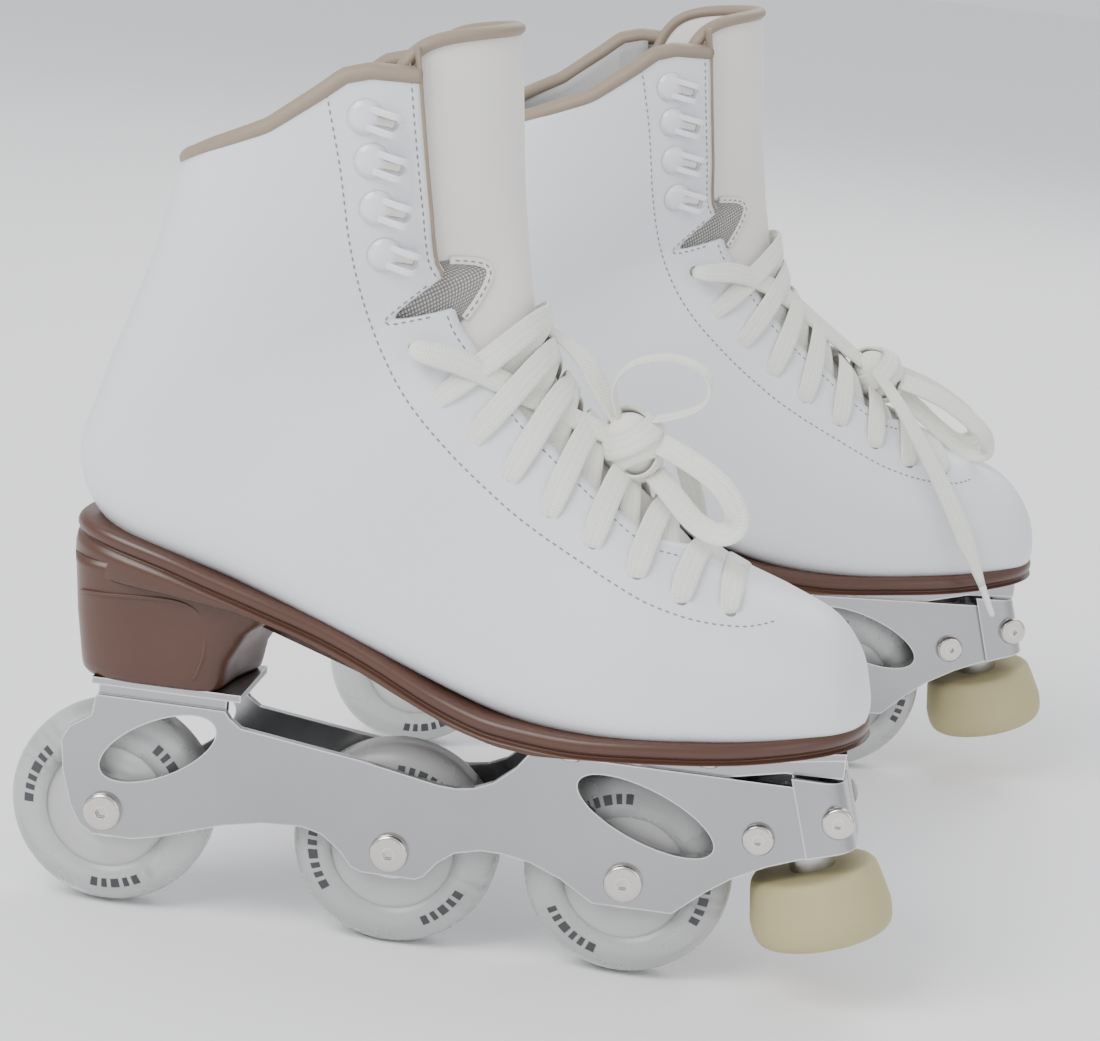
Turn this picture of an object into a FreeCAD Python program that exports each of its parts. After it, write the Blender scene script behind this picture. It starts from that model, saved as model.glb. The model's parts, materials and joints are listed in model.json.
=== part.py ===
import FreeCAD, Part
import math
import os
from FreeCAD import Placement, Rotation, Vector

# A pair of in-line figure skates: white boots on brown heeled soles, aluminium
# three-wheel frames and angled toe stops. Millimetres, +X to the toes, +Z up.
# Each skate is drawn about its rear axle, with y = 0 on its own middle plane.

doc = FreeCAD.newDocument("inline_figure_skates")
sheet = doc.addObject("Spreadsheet::Sheet", "Dims")

DIMENSIONS = [
    # wheels and axles
    ("wheel_diameter", 72.0),
    ("wheel_width", 23.0),
    ("tread_radius", 9.0),
    ("hub_diameter", 44.0),
    ("hub_width", 21.0),
    ("bearing_outside", 22.0),
    ("bearing_bore", 8.0),
    ("bearing_width", 7.0),
    ("inner_ring_outside", 12.0),
    ("bearing_gap", 0.06),
    ("bearing_centres", 15.0),
    ("axle_slack", 0.02),
    ("bolt_head_diameter", 13.5),
    ("bolt_head_height", 2.8),
    ("hex_socket", 4.0),
    ("rear_wheel_gap", 29.0),
    ("front_wheel_gap", 9.0),
    ("rocker_lift", 0.8),
    # frame
    ("rail_gap", 27.0),
    ("rail_thickness", 3.0),
    ("rail_top", 42.0),
    ("plate_height", 49.5),
    ("plate_thickness", 2.5),
    ("heel_plate_width", 42.0),
    ("front_plate_width", 50.0),
    ("front_plate_rise", 0.09),
    ("front_plate_drop", 3.5),
    # toe stop
    ("stop_tilt", 16.5),
    ("stop_ahead", 61.7),
    ("stop_height", 14.0),
    ("stem_diameter", 15.9),
    ("stem_slack", 0.05),
    ("pad_top_diameter", 43.0),
    ("pad_diameter", 49.0),
    ("pad_height", 24.0),
    ("pad_drop", 3.6),
    ("bracket_width", 37.0),
    ("pinch_slot", 1.6),
    # boot
    ("boot_length", 274.0),
    ("boot_behind", 17.5),
    ("heel_height", 53.5),
    ("shaft_height", 165.0),
    ("upper_wall", 3.5),
    ("lining_wall", 2.7),
    ("footbed_wall", 3.5),
    ("layer_gap", 0.8),
    ("tongue_wall", 5.0),
    ("tongue_split_gap", 1.6),
    ("lace_thickness", 1.8),
    ("lace_width", 7.0),
    ("lace_clearance", 1.2),
    ("lace_tube", 5.0),
    ("hook_base_diameter", 9.0),
    ("screw_diameter", 4.0),
    ("screw_head_diameter", 7.5),
    ("screw_reach", 7.5),
    # the pair
    ("pair_spacing", 240.0),
    ("left_ahead", 66.0),
    ("left_turn", 16.0),
]
for row, (alias, number) in enumerate(DIMENSIONS, start=1):
    sheet.set("A%d" % row, alias)
    sheet.set("B%d" % row, repr(number))
    sheet.setAlias("B%d" % row, alias)
doc.recompute()


def dim(alias):
    return float(getattr(sheet, alias))


# Heights and stations that follow from the driving sizes.
AXLE_Z = dim("wheel_diameter") / 2
REAR_X = 0.0
MIDDLE_X = REAR_X + dim("wheel_diameter") + dim("rear_wheel_gap")
FRONT_X = MIDDLE_X + dim("wheel_diameter") + dim("front_wheel_gap")
END_AXLE_Z = AXLE_Z + dim("rocker_lift")
WHEELS = [
    ("rear", REAR_X, END_AXLE_Z),
    ("middle", MIDDLE_X, AXLE_Z),
    ("front", FRONT_X, END_AXLE_Z),
]
RAIL_TOP = AXLE_Z + dim("rail_top")
HEEL_SEAT = AXLE_Z + dim("plate_height")
RAIL_INSIDE = dim("rail_gap") / 2
RAIL_OUTSIDE = RAIL_INSIDE + dim("rail_thickness")
FRONT_PLATE_X = FRONT_X - 36.0
STOP_X = FRONT_X + dim("stop_ahead")
STOP_Z = AXLE_Z + dim("stop_height")
STOP_SIN = math.sin(math.radians(dim("stop_tilt")))
STOP_COS = math.cos(math.radians(dim("stop_tilt")))


def front_plate_top(x):
    """Height of the front plate's upper face, which rises towards the toe."""
    return HEEL_SEAT - dim("front_plate_drop") + dim("front_plate_rise") * (x - FRONT_PLATE_X)


def stop_point(across, down):
    """A point of the toe stop's middle plane: across is forward, down is along the stem."""
    x = STOP_X + across * STOP_COS + down * STOP_SIN
    z = STOP_Z + across * STOP_SIN - down * STOP_COS
    return x, z


# ---------------------------------------------------------------- object makers


def feature(name, shape):
    piece = doc.addObject("Part::Feature", name)
    piece.Shape = shape
    return piece


def primitive(kind, name, sizes, place=None):
    """A Part primitive whose sizes are expressions of the sheet's cells."""
    piece = doc.addObject(kind, name)
    for prop, expression in sizes.items():
        piece.setExpression(prop, expression)
    if place is not None:
        piece.Placement = place
    return piece


def cut(name, base, tool):
    piece = doc.addObject("Part::Cut", name)
    piece.Base = base
    piece.Tool = tool
    return piece


def fuse(name, pieces):
    piece = doc.addObject("Part::MultiFuse", name)
    piece.Shapes = pieces
    return piece


def group(name, pieces):
    piece = doc.addObject("Part::Compound", name)
    piece.Links = pieces
    return piece


def across(x, z, half, side=0.0):
    """Placement that lays a primitive's own axis along Y, centred on y = side."""
    return Placement(Vector(x, side + half, z), Rotation(Vector(1, 0, 0), 90))


def prism(points, y_low, y_high):
    """A side-view outline carried from y_low to y_high."""
    corners = [Vector(x, y_low, z) for x, z in points]
    face = Part.Face(Part.makePolygon(corners + corners[:1]))
    return face.extrude(Vector(0, y_high - y_low, 0))


def tilted_box(across_low, across_high, down_low, down_high, y_low, y_high):
    """A block square to the toe stop's stem."""
    corners = [
        stop_point(across_low, down_low),
        stop_point(across_high, down_low),
        stop_point(across_high, down_high),
        stop_point(across_low, down_high),
    ]
    return prism(corners, y_low, y_high)


def cylinder_y(x, z, radius, y_low, y_high):
    return Part.makeCylinder(radius, y_high - y_low, Vector(x, y_low, z), Vector(0, 1, 0))


def stop_cylinder(radius, down_low, down_high):
    x, z = stop_point(0, down_low)
    return Part.makeCylinder(radius, down_high - down_low, Vector(x, 0, z), Vector(STOP_SIN, 0, -STOP_COS))


# ---------------------------------------------------------------- wheels


def make_wheel(prefix, which, x, z):
    """Tyre, hub and the two bearings' outer rings, all turning about one axle."""
    name = prefix + which
    width = dim("wheel_width")
    tread = primitive(
        "Part::Cylinder",
        name + "_tread",
        {"Radius": "Dims.wheel_diameter / 2", "Height": "Dims.wheel_width"},
        across(x, z, width / 2),
    )
    doc.recompute()
    rounded = doc.addObject("Part::Fillet", name + "_rounded")
    rounded.Base = tread
    rounded.Edges = [(edge, dim("tread_radius"), dim("tread_radius")) for edge in (1, 3)]
    opening = primitive(
        "Part::Cylinder",
        name + "_opening",
        {"Radius": "Dims.hub_diameter / 2", "Height": "Dims.wheel_width + 2"},
        across(x, z, width / 2 + 1),
    )
    tyre = cut(prefix + "tyre_" + which, rounded, opening)

    core = primitive(
        "Part::Cylinder",
        name + "_core",
        {"Radius": "Dims.hub_diameter / 2", "Height": "Dims.hub_width"},
        across(x, z, dim("hub_width") / 2),
    )
    seat = dim("bearing_centres") / 2 - dim("bearing_width") / 2
    reach = dim("hub_width")
    seats = [
        feature(name + "_seat_%d" % i, cylinder_y(x, z, dim("bearing_outside") / 2, low, high))
        for i, (low, high) in enumerate([(seat, reach), (-reach, -seat)])
    ]
    through = primitive(
        "Part::Cylinder",
        name + "_through",
        {"Radius": "Dims.bearing_outside / 2 - 1.5", "Height": "Dims.hub_width + 4"},
        across(x, z, dim("hub_width") / 2 + 2),
    )
    hub = cut(prefix + "hub_" + which, core, fuse(name + "_bore", seats + [through]))

    rings = []
    for i, middle in enumerate([dim("bearing_centres") / 2, -dim("bearing_centres") / 2]):
        place = across(x, z, dim("bearing_width") / 2, middle)
        ring = primitive(
            "Part::Cylinder",
            name + "_race_%d" % i,
            {"Radius": "Dims.bearing_outside / 2", "Height": "Dims.bearing_width"},
            place,
        )
        hole = primitive(
            "Part::Cylinder",
            name + "_race_hole_%d" % i,
            {"Radius": "Dims.inner_ring_outside / 2 + Dims.bearing_gap", "Height": "Dims.bearing_width"},
            place,
        )
        rings.append(cut(name + "_outer_%d" % i, ring, hole))
    outer_rings = group(prefix + "outer_rings_" + which, rings)
    return [tyre, hub, outer_rings]


def make_inner_rings(prefix):
    """Inner rings, the sleeve between them and the washers out to the rails, clamped by each axle."""
    pieces = []
    bore = dim("bearing_bore") / 2
    ring = dim("inner_ring_outside") / 2
    inner = dim("bearing_centres") / 2 - dim("bearing_width") / 2
    outer = dim("bearing_centres") / 2 + dim("bearing_width") / 2
    spans = [(ring - 1.2, -inner, inner)]
    for low, high, radius in [(inner, outer, ring), (outer, RAIL_INSIDE, ring - 0.8)]:
        spans.append((radius, low, high))
        spans.append((radius, -high, -low))
    for which, x, z in WHEELS:
        for i, (radius, low, high) in enumerate(spans):
            solid = cylinder_y(x, z, radius, low, high).cut(cylinder_y(x, z, bore, low, high))
            pieces.append(feature("%sring_%s_%d" % (prefix, which, i), solid))
    return group(prefix + "inner_rings", pieces)


def make_axle_bolts(prefix):
    """Each axle is a headed sleeve from one side and a screw in its end from the other."""
    pieces = []
    shaft = dim("bearing_bore") / 2 - dim("axle_slack")
    head = dim("bolt_head_diameter") / 2
    for which, x, z in WHEELS:
        for i, sign in enumerate([-1, 1]):
            face = sign * RAIL_OUTSIDE
            cap = Part.makeCylinder(head, dim("bolt_head_height"), Vector(x, face, z), Vector(0, sign, 0))
            rim = [e for e in cap.Edges if abs(e.CenterOfMass.y - face) > 1 and len(e.Vertexes) == 1]
            cap = cap.makeFillet(dim("bolt_head_height") * 0.55, rim)
            socket = hexagon(x, z, dim("hex_socket"), face + sign * 0.9, face + sign * 9)
            if sign < 0:
                body = cylinder_y(x, z, shaft, face, RAIL_OUTSIDE)
                body = body.cut(cylinder_y(x, z, shaft * 0.6, 2, RAIL_OUTSIDE + 1))
            else:
                body = cylinder_y(x, z, shaft * 0.6, 2, face)
            bolt = cap.fuse(body).cut(socket).removeSplitter()
            pieces.append(feature("%saxle_%s_%d" % (prefix, which, i), bolt))
    return pieces


def hexagon(x, z, flats, y_start, y_end):
    corners = []
    reach = flats / math.sqrt(3)
    for i in range(6):
        angle = math.radians(60 * i)
        corners.append((x + reach * math.cos(angle), z + reach * math.sin(angle)))
    return prism(corners, min(y_start, y_end), max(y_start, y_end))


# ---------------------------------------------------------------- frame


def rail_outline():
    """Side view of a rail, in groups that each stay with their own axle."""
    rear = [(-5.5, 41.5), (-6.5, 34.5), (-14.0, 29.5), (-16.5, 24.5), (-15.2, 13.0), (-11.5, 1.0)]
    rear += [(-8.0, -5.0), (-3.5, -8.0), (11.0, -8.0), (20.5, -5.8), (42.0, 1.2), (56.0, 4.0)]
    middle = [(-31.0, 4.8), (-24.0, 3.0), (-17.5, -1.8), (-13.0, -7.0), (-9.0, -8.5), (9.5, -8.5)]
    middle += [(12.5, -7.0), (16.8, -1.5), (22.5, 2.8), (31.5, 5.0), (39.0, 4.8)]
    front = [(-32.5, 3.2), (-21.5, -1.2), (-10.0, -8.2), (17.5, -8.0), (27.5, 0.8), (36.0, 7.0)]
    front += [(47.5, 13.0), (58.0, 17.0)]
    points = [(REAR_X + x, AXLE_Z + z) for x, z in rear]
    points += [(MIDDLE_X + x, AXLE_Z + z) for x, z in middle]
    points += [(FRONT_X + x, AXLE_Z + z) for x, z in front]
    points += [stop_point(8.0, -4.3), stop_point(8.0, -27.0)]
    arch = [(-36.0, 0.0), (-40.5, -6.2), (-47.5, -12.3), (-54.0, -15.2), (-60.5, -16.2), (-67.0, -15.8)]
    points += [(FRONT_X + x, RAIL_TOP + z) for x, z in arch]
    points += [(MIDDLE_X - 13.5, RAIL_TOP - 10.8), (MIDDLE_X - 31.0, RAIL_TOP - 8.6), (46.0, RAIL_TOP - 5.4)]
    points += [(42.0, RAIL_TOP - 2.6), (40.0, RAIL_TOP), (-5.0, RAIL_TOP)]
    return points


def oval(x, z, half_length, half_width, tilt, y_low, y_high):
    """An elliptical window through a rail, tilted in side view."""
    ellipse = Part.Ellipse(Vector(0, 0, 0), half_length, half_width)
    face = Part.Face(Part.Wire(ellipse.toShape()))
    solid = face.extrude(Vector(0, 0, y_high - y_low))
    turn = Rotation(Vector(0, 1, 0), -tilt).multiply(Rotation(Vector(1, 0, 0), 90))
    solid.Placement = Placement(Vector(x, y_high, z), turn)
    return solid


def make_frame(prefix):
    """One channel: two rails, a heel plate and a rising front plate on recessed walls."""
    pieces = []
    for sign in (-1, 1):
        low, high = sorted([sign * RAIL_INSIDE, sign * RAIL_OUTSIDE])
        rail = prism(rail_outline(), low, high)
        rail = rail.cut(oval(REAR_X + 17.5, AXLE_Z + 25.5, 22.0, 9.6, 28.0, low - 1, high + 1))
        rail = rail.cut(oval(FRONT_X + 5.0, AXLE_Z + 25.0, 25.5, 9.2, -21.0, low - 1, high + 1))
        for which, x, z in WHEELS:
            rail = rail.cut(cylinder_y(x, z, dim("bearing_bore") / 2, low - 1, high + 1))
        bolt_x, bolt_z = stop_point(-14.8, -13.3)
        rail = rail.cut(cylinder_y(bolt_x, bolt_z, 3.0, low - 1, high + 1))
        pieces.append(rail)
        # recessed walls stand inside the rails' upper edges and carry the plates
        wall_low, wall_high = sorted([sign * (RAIL_INSIDE - 3.0), sign * (RAIL_INSIDE + 1.2)])
        foot, head = RAIL_TOP - 2.5, HEEL_SEAT - 1.0
        rear_wall = [(-5.0, foot), (40.0, foot), (40.0, head), (-5.0, head)]
        end = STOP_X - 12.0
        front_wall = [(FRONT_PLATE_X, foot), (STOP_X - 31.0, foot), (STOP_X - 31.0, RAIL_TOP)]
        front_wall += [(end, RAIL_TOP + 4.0), (end + 20.0, RAIL_TOP + 4.5)]
        front_wall += [(x, front_plate_top(x) - 1.0) for x in (end + 20.0, FRONT_PLATE_X)]
        pieces.append(prism(rear_wall, wall_low, wall_high))
        pieces.append(prism(front_wall, wall_low, wall_high))
    plate = dim("plate_thickness")
    heel_half = dim("heel_plate_width") / 2
    heel = [(-6.0, HEEL_SEAT - plate), (46.0, HEEL_SEAT - plate), (46.0, HEEL_SEAT), (-6.0, HEEL_SEAT)]
    pieces.append(prism(heel, -heel_half, heel_half))
    front_half = dim("front_plate_width") / 2
    start = FRONT_PLATE_X
    end = STOP_X + 8.0
    front = [(start, front_plate_top(start) - plate), (end, front_plate_top(end) - plate)]
    front += [(end, front_plate_top(end)), (start, front_plate_top(start))]
    front_plate = prism(front, -front_half, front_half)
    for sign in (-1, 1):
        beyond = sign * (front_half + 1)
        corner = [(end - 46.0, beyond), (end + 1, beyond), (end + 1, sign * (RAIL_INSIDE + 1.2))]
        wedge = Part.Face(Part.makePolygon([Vector(x, y, 0) for x, y in corner + corner[:1]]))
        front_plate = front_plate.cut(wedge.extrude(Vector(0, 0, HEEL_SEAT * 2)))
    pieces.append(front_plate)
    solid = pieces[0].fuse(pieces[1:]).removeSplitter()
    for x, y, top in mount_screw_places():
        hole = Part.makeCylinder(dim("screw_diameter") / 2, 3 * plate, Vector(x, y, top - 2 * plate))
        solid = solid.cut(hole)
    return feature(prefix + "frame", solid)


def mount_screw_places():
    """Screws through the plates' edges, outside the walls."""
    places = []
    side_y = RAIL_OUTSIDE + 1.6
    for x in (FRONT_PLATE_X + 14.0, FRONT_PLATE_X + 36.0, FRONT_PLATE_X + 60.0):
        for sign in (-1, 1):
            places.append((x, sign * (side_y + 1.2), front_plate_top(x)))
    for x in (8.0, 34.0):
        for sign in (-1, 1):
            places.append((x, sign * 6.0, HEEL_SEAT))
    return places


def make_mount_screws(prefix):
    """Pan-head screws up through the plates into the sole."""
    pieces = []
    for i, (x, y, top) in enumerate(mount_screw_places()):
        seat = top - dim("plate_thickness") - 0.35
        head = Part.makeCylinder(dim("screw_head_diameter") / 2, 2.2, Vector(x, y, seat - 2.2))
        rim = [e for e in head.Edges if e.CenterOfMass.z < seat - 2 and len(e.Vertexes) == 1]
        head = head.makeFillet(1.0, rim)
        grip = dim("plate_thickness") + dim("screw_reach")
        shank = Part.makeCylinder(dim("screw_diameter") / 2 - 0.02, grip, Vector(x, y, seat - 0.2))
        slot = Part.makeBox(5.0, 0.9, 1.0, Vector(x - 2.5, y - 0.45, seat - 2.6))
        pieces.append(feature("%sscrew_%d" % (prefix, i), head.fuse(shank).cut(slot).removeSplitter()))
    return group(prefix + "mount_screws", pieces)


# ---------------------------------------------------------------- toe stop


def make_bracket(prefix):
    """Clamp block in the channel's nose with a wrap round the rails' front ends."""
    half = dim("bracket_width") / 2
    core_half = RAIL_INSIDE - 0.05
    core = tilted_box(-20.0, 4.0, -25.5, -4.3, -core_half, core_half)
    wrap = tilted_box(0.0, 17.0, -33.0, -4.3, -half, half)
    top = RAIL_TOP + 3.5
    low_x, high_x = STOP_X - 60, STOP_X + 60
    above = [(low_x, top), (high_x, top), (high_x, top + 60), (low_x, top + 60)]
    wrap = wrap.cut(prism(above, -half - 1, half + 1))
    wrap = wrap.makeFillet(7.5, [e for e in wrap.Edges if is_wrap_corner(e, half)])
    block = core.fuse(wrap)
    for sign in (-1, 1):
        low, high = sorted([sign * core_half, sign * (RAIL_OUTSIDE + 0.1)])
        block = block.cut(tilted_box(-1.0, 8.2, -40.0, 2.0, low, high))
    block = block.cut(stop_cylinder(dim("stem_diameter") / 2 + dim("stem_slack"), -40.0, 2.0))
    block = block.cut(tilted_box(0.0, 20.0, -40.0, 2.0, -dim("pinch_slot") / 2, dim("pinch_slot") / 2))
    pinch_x, pinch_z = stop_point(12.9, -15.5)
    cross_x, cross_z = stop_point(-14.8, -13.3)
    block = block.cut(cylinder_y(pinch_x, pinch_z, 2.5, -half - 1, half + 1))
    block = block.cut(cylinder_y(cross_x, cross_z, 3.0, -half - 1, half + 1))
    return feature(prefix + "toe_stop_bracket", block.removeSplitter())


def is_wrap_corner(edge, half):
    """True for the two edges along the stop's axis at the front of the wrap."""
    along = abs(edge.tangentAt(edge.FirstParameter).dot(Vector(STOP_SIN, 0, -STOP_COS))) > 0.99
    at = edge.CenterOfMass
    ahead = (at.x - STOP_X) * STOP_COS + (at.z - STOP_Z) * STOP_SIN
    return along and abs(at.y) > half - 1 and ahead > 12


def make_bracket_bolts(prefix):
    """Pinch bolt through the wrap and cross bolt through the rails and block."""
    pieces = []
    half = dim("bracket_width") / 2
    bolts = [(12.9, -15.5, 2.48, half), (-14.8, -13.3, 2.98, RAIL_OUTSIDE)]
    for i, (ahead, down, radius, seat) in enumerate(bolts):
        x, z = stop_point(ahead, down)
        for sign in (-1, 1):
            cap = Part.makeCylinder(5.6, 2.6, Vector(x, sign * seat, z), Vector(0, sign, 0))
            rim = [e for e in cap.Edges if abs(e.CenterOfMass.y - sign * seat) > 1 and len(e.Vertexes) == 1]
            cap = cap.makeFillet(1.4, rim)
            socket = hexagon(x, z, 3.2, sign * (seat + 0.9), sign * (seat + 6))
            low, high = (-seat, 2.0) if sign < 0 else (2.0, seat)
            body = cylinder_y(x, z, radius, low, high)
            bolt = cap.fuse(body).cut(socket).removeSplitter()
            pieces.append(feature("%sclamp_%d_%d" % (prefix, i, sign), bolt))
    return pieces


def make_stem(prefix):
    """Threaded stem, drawn plain at its thread's outside diameter."""
    stem = stop_cylinder(dim("stem_diameter") / 2, -25.0, dim("pad_drop") + 12.0)
    return feature(prefix + "toe_stop_stem", stem)


def make_pad(prefix):
    """Rubber pad, wider at its foot, with a rounded rim."""
    drop = dim("pad_drop")
    height = dim("pad_height")
    top = dim("pad_top_diameter") / 2
    wide = dim("pad_diameter") / 2
    outline = [(0, drop), (top - 1.5, drop), (top, drop + 1.5), (wide, drop + height * 0.68)]
    outline += [(wide - 1.6, drop + height * 0.86), (wide - 6.5, drop + height), (0, drop + height)]
    corners = [Vector(radius, 0, -down) for radius, down in outline]
    solid = Part.Face(Part.makePolygon(corners + corners[:1])).revolve(Vector(0, 0, 0), Vector(0, 0, 1), 360)
    solid.Placement = Placement(Vector(STOP_X, 0, STOP_Z), Rotation(Vector(0, 1, 0), -dim("stop_tilt")))
    hole = stop_cylinder(dim("stem_diameter") / 2, drop - 2.0, drop + 12.0)
    return feature(prefix + "toe_stop_pad", solid.cut(hole).removeSplitter())


# ---------------------------------------------------------------- boot

# Stations of the boot from the toe round the instep to the top of the shaft. Each is a closed
# section on the straight line from its sole or back point to its top or front point:
# (low x, low z, high x, high z, half width, roundness below, roundness above, facing edge).
# x is from the back of the boot, z from the heel seat; the facing edge is a share of the line.
STATIONS = [
    (273.6, 13.0, 274.3, 23.0, 10.0, 2.6, 2.2, 1.0),
    (269.5, 11.8, 270.2, 36.0, 22.0, 3.0, 2.2, 1.0),
    (261.0, 10.8, 260.3, 47.8, 31.0, 4.5, 2.2, 1.0),
    (245.0, 9.6, 243.3, 55.6, 38.5, 6.0, 2.2, 1.0),
    (222.0, 7.8, 219.5, 65.0, 43.5, 7.0, 2.2, 0.985),
    (192.5, 5.6, 195.5, 82.6, 45.0, 7.0, 2.1, 0.876),
    (157.5, 7.0, 172.5, 104.6, 40.5, 6.0, 2.1, 0.884),
    (112.5, 20.5, 157.8, 123.5, 36.5, 5.0, 2.1, 0.84),
    (57.5, 38.5, 151.8, 140.6, 35.0, 3.6, 2.1, 0.84),
    (14.5, 49.0, 149.4, 152.6, 33.0, 2.6, 2.1, 0.833),
    (-2.0, 71.5, 147.8, 161.6, 33.0, 2.1, 2.1, 0.82),
    (4.0, 100.5, 146.6, 169.6, 35.0, 2.1, 2.1, 0.80),
    (17.5, 142.5, 144.6, 182.6, 38.5, 2.1, 2.1, 0.768),
    (26.5, 180.5, 141.8, 207.6, 41.0, 2.1, 2.1, 0.73),
    (32.5, 214.5, 139.3, 232.6, 42.0, 2.1, 2.1, 0.69),
]
# The welt line: where the upper meets the sole, as (x from the back, z from the heel seat).
WELT = [(-6.0, 54.5), (4.0, 53.5), (31.0, 48.5), (51.5, 42.8), (70.5, 37.4), (89.3, 31.6), (108.3, 24.3)]
WELT += [(128.0, 15.6), (142.5, 10.8), (155.0, 8.5), (179.5, 7.3), (205.8, 8.8), (231.3, 10.5)]
WELT += [(256.8, 13.1), (290.0, 16.0)]
# The collar line from the back of the shaft to its front.
COLLAR = [(-10.0, 176.0), (27.5, 180.5), (41.0, 187.9), (61.0, 197.2), (77.2, 209.8)]
COLLAR += [(84.5, 216.0), (92.5, 218.3), (150.0, 218.0)]
SKEW = -0.25
REFERENCE_LENGTH = 274.0
REFERENCE_SHAFT = 165.0


def boot_x(x):
    return x * dim("boot_length") / REFERENCE_LENGTH - dim("boot_behind")


def boot_z(z):
    """Heights above the welt's highest point stretch with the shaft."""
    if z <= dim("heel_height"):
        return HEEL_SEAT + z
    return HEEL_SEAT + dim("heel_height") + (z - dim("heel_height")) * dim("shaft_height") / REFERENCE_SHAFT


def share_to_angle(share, roundness):
    """The section angle whose point lies at that share of the section's line."""
    low, high = -math.pi / 2, math.pi / 2
    for _ in range(40):
        middle = (low + high) / 2
        if section_share(middle, roundness, roundness) < share:
            low = middle
        else:
            high = middle
    return low


def section_radius(angle, below, above):
    """Superellipse in polar form: its radius at an angle, where a circle of roundness 2 gives 1."""
    power = above if math.sin(angle) > 0 else below
    return (abs(math.cos(angle)) ** power + abs(math.sin(angle)) ** power) ** (-1 / power)


def section_share(angle, below, above):
    t = section_radius(angle, below, above) * math.sin(angle)
    return (1 + t + SKEW * (1 - t * t)) / 2


def section_point(station, inset, angle, side):
    """A point of a station's section: a superellipse whose widest place is below its middle."""
    low_x, low_z, high_x, high_z, half_width, below, above, _ = station
    x0, z0, x1, z1 = boot_x(low_x), boot_z(low_z), boot_x(high_x), boot_z(high_z)
    length = math.hypot(x1 - x0, z1 - z0)
    share = section_share(angle, below, above)
    along = inset + share * (length - 2 * inset)
    y = (half_width - inset) * section_radius(angle, below, above) * math.cos(angle)
    # the sole curves towards the big toe's side
    swing = 5.0 * max(0.0, (low_x - 120.0) / 150.0) ** 2
    return Vector(x0 + (x1 - x0) * along / length, y + side * swing, z0 + (z1 - z0) * along / length)


def blend_stations(position):
    """The station at a place between two rows of the table."""
    index = min(int(position), len(STATIONS) - 2)
    share = position - index
    return tuple(a + (b - a) * share for a, b in zip(STATIONS[index], STATIONS[index + 1]))


def interpolated(grid):
    surface = Part.BSplineSurface()
    surface.interpolate(grid)
    return surface


def thick_sheet(outer_grid, inner_grid):
    """A closed solid between two smooth surfaces through two grids of points."""
    outer = interpolated(outer_grid)
    inner = interpolated(inner_grid)
    u0, u1, v0, v1 = outer.bounds()
    a0, a1, b0, b1 = inner.bounds()
    faces = [outer.toShape(), inner.toShape()]
    faces.append(Part.makeRuledSurface(outer.uIso(u0).toShape(), inner.uIso(a0).toShape()))
    faces.append(Part.makeRuledSurface(outer.uIso(u1).toShape(), inner.uIso(a1).toShape()))
    faces.append(Part.makeRuledSurface(outer.vIso(v0).toShape(), inner.vIso(b0).toShape()))
    faces.append(Part.makeRuledSurface(outer.vIso(v1).toShape(), inner.vIso(b1).toShape()))
    shell = Part.Shell(faces)
    shell.sewShape()
    solid = Part.Solid(shell)
    if solid.Volume < 0:
        solid.reverse()
    return solid


def wrap_solid(positions, inset_out, inset_in, angles, side):
    """A thick sheet over stations; angles(station) lists the section angles to follow."""
    rows = [blend_stations(p) for p in positions]
    outer = [[section_point(row, inset_out, angle, side) for angle in angles(row)] for row in rows]
    inner = [[section_point(row, inset_in, angle, side) for angle in angles(row)] for row in rows]
    return thick_sheet(outer, inner)


def under_angles(margin, count):
    """Angles from one facing edge round the sole side to the other."""
    def angles(row):
        edge = share_to_angle(row[7], row[6]) - math.radians(margin)
        return [edge - (math.pi + 2 * edge) * i / (count - 1) for i in range(count)]
    return angles


def over_angles(margin, count):
    """Angles from one facing edge over the instep to the other."""
    def angles(row):
        edge = share_to_angle(row[7], row[6]) + math.radians(margin)
        return [edge + (math.pi - 2 * edge) * i / (count - 1) for i in range(count)]
    return angles


def below_welt():
    points = [(boot_x(x), boot_z(z)) for x, z in WELT]
    points = [(points[0][0] - 60, points[0][1])] + points + [(points[-1][0] + 60, points[-1][1])]
    points += [(points[-1][0], -20.0), (points[0][0], -20.0)]
    return prism(points, -90, 90)


def above_collar(drop):
    points = [(boot_x(x), boot_z(z) - drop) for x, z in COLLAR]
    points += [(points[-1][0], points[-1][1] + 90), (points[0][0] - 20, points[-1][1] + 90)]
    points += [(points[0][0] - 20, points[0][1])]
    return prism(points, -90, 90)


def closed_section(station, inset, side, count=28):
    points = []
    for i in range(count):
        points.append(section_point(station, inset, 2 * math.pi * (i + 0.5) / count, side))
    curve = Part.BSplineCurve()
    curve.interpolate(points, PeriodicFlag=True)
    return Part.Wire(curve.toShape())


def make_upper(prefix, side):
    """Toe box and quarters of the boot, open along the throat and at the collar."""
    wall = dim("upper_wall")
    toe_out = Part.makeLoft([closed_section(s, 0, side) for s in STATIONS[:5]], True, False)
    toe_in = Part.makeLoft([closed_section(s, wall, side) for s in STATIONS[1:5]], True, False)
    toe = toe_out.cut(toe_in).cut(below_welt())
    positions = list(range(4, len(STATIONS)))
    quarters = wrap_solid(positions, 0, wall, under_angles(0, 25), side)
    quarters = quarters.cut(above_collar(4.0)).cut(below_welt()).cut(flex_slot())
    whole = Part.Compound([toe, quarters])
    return feature(prefix + "upper", whole)


def flex_slot():
    """Notch in each facing between the hooks and the eyelets."""
    points = [(106.0, 138.8), (107.5, 142.8), (124.0, 154.5), (124.0, 146.0)]
    return prism([(boot_x(x), boot_z(z)) for x, z in points], -90, 90)


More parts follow.
